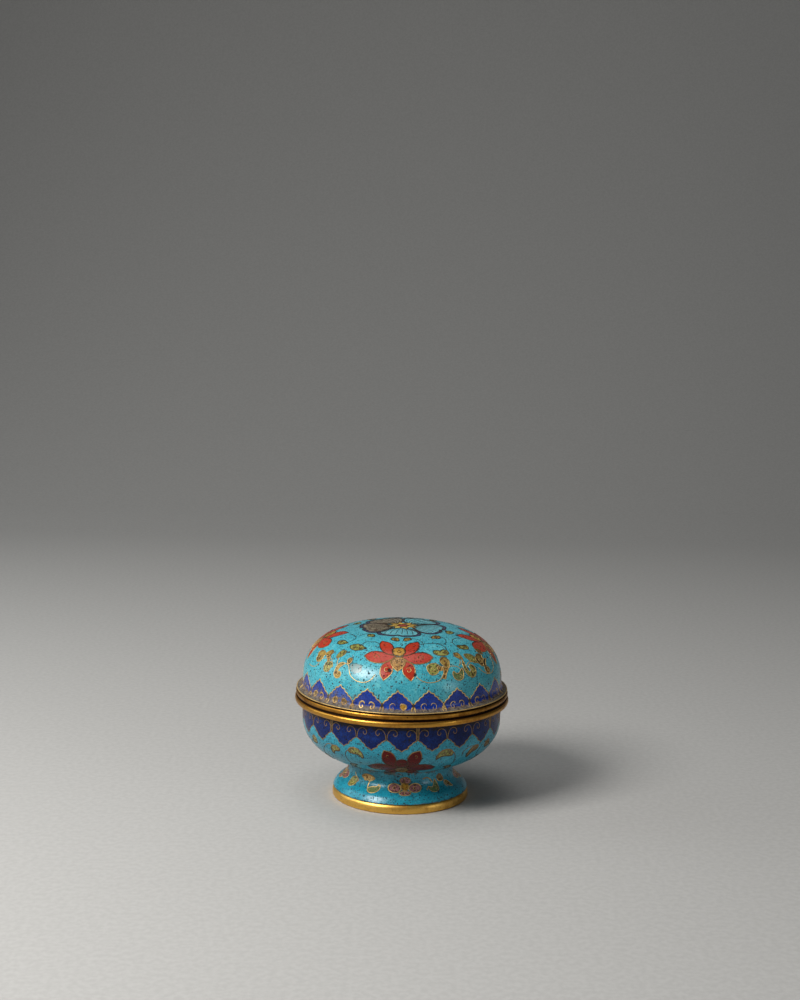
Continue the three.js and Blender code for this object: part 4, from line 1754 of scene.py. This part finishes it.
def paper_sweep():
    profile = [(PAPER_FRONT, 0.0), (CURVE_START, 0.0)]
    for i in range(1, CURVE_STEPS + 1):
        a = math.radians(i * 90 / CURVE_STEPS)
        across, up = CURVE_RADIUS * math.sin(a), CURVE_RADIUS * math.cos(a)
        profile.append((CURVE_START + across, CURVE_RADIUS - up))
    profile.append((CURVE_START + CURVE_RADIUS, PAPER_TOP))
    sides = (-PAPER_HALF_WIDTH, PAPER_HALF_WIDTH)
    mesh = bpy.data.meshes.new("paper")
    mesh.from_pydata(
        [(x, y, z) for y, z in profile for x in sides], [],
        [(2 * i, 2 * i + 1, 2 * i + 3, 2 * i + 2) for i in range(len(profile) - 1)])
    mesh.shade_smooth()
    paper = Finish("pale_paper", 0.8)
    grain = paper.noise(3.0, detail=4)
    tone = paper.blend(paper.mask(grain, 0.3, 0.7), rgb(178, 177, 174), rgb(186, 185, 182))
    paper.link(tone, "Base Color")
    paper.link(paper.bump(grain, 0.05), "Normal")
    mesh.materials.append(paper.material)
    sweep = bpy.data.objects.new("paper_sweep", mesh)
    scene_collection.objects.link(sweep)
    print("paper sweep, points along its curve:", len(profile))
    return sweep


paper_sweep()

# %% [markdown]
# ## The light
# The main light is a soft panel above and to the left of the camera, whose reflection is the
# soft bright patch on the shoulder of the cover. A wide cool panel on the left draws the edge of
# the bowl and the foot, a weak one on the right opens the shadows, and a wide one overhead lays
# an even light on the crown and the paper. Bare lamps would give hard shadows and glare.


# %% Lights
PANELS = (
    # name, direction from the box, distance, width and height, watts, tint
    ("main_light", (-0.60, -0.48, 0.65), 1.1, (0.42, 0.42), 12.4, (1.0, 0.98, 0.96)),
    ("side_light", (-0.9, 0.14, 0.42), 1.2, (0.6, 0.7), 2.4, (0.92, 0.98, 1.0)),
    ("fill_light", (0.80, -0.54, 0.20), 1.2, (0.26, 0.3), 1.1, (0.95, 0.98, 1.0)),
    ("top_light", (-0.1, 0.05, 1.0), 1.4, (0.9, 0.9), 4.4, (1.0, 1.0, 1.0)),
)
AIM = Vector((0, 0, 0.055))  # the seam, where the lights look


def soft_panel(name, direction, distance, size, power, tint):
    """A flat area light, wide and high, that looks at the box from a direction."""
    panel = bpy.data.lights.new(name, "AREA")
    panel.shape, panel.energy, panel.color = "RECTANGLE", power, tint
    panel.size, panel.size_y = size
    light = bpy.data.objects.new(name, panel)
    light.location = AIM + Vector(direction).normalized() * distance
    light.rotation_euler = (light.location - AIM).to_track_quat("Z", "Y").to_euler()
    scene_collection.objects.link(light)


for panel in PANELS:
    soft_panel(*panel)

# %% The dim room around
room = bpy.data.worlds.new("studio")
bpy.context.scene.world = room
room.use_nodes = True
background = room.node_tree.nodes["Background"]
background.inputs["Color"].default_value = (0.9, 0.95, 1.0, 1.0)
background.inputs["Strength"].default_value = 0.08
bpy.context.scene.view_settings.view_transform = "Standard"
print("room:", room.name)

# %% [markdown]
# ## The end
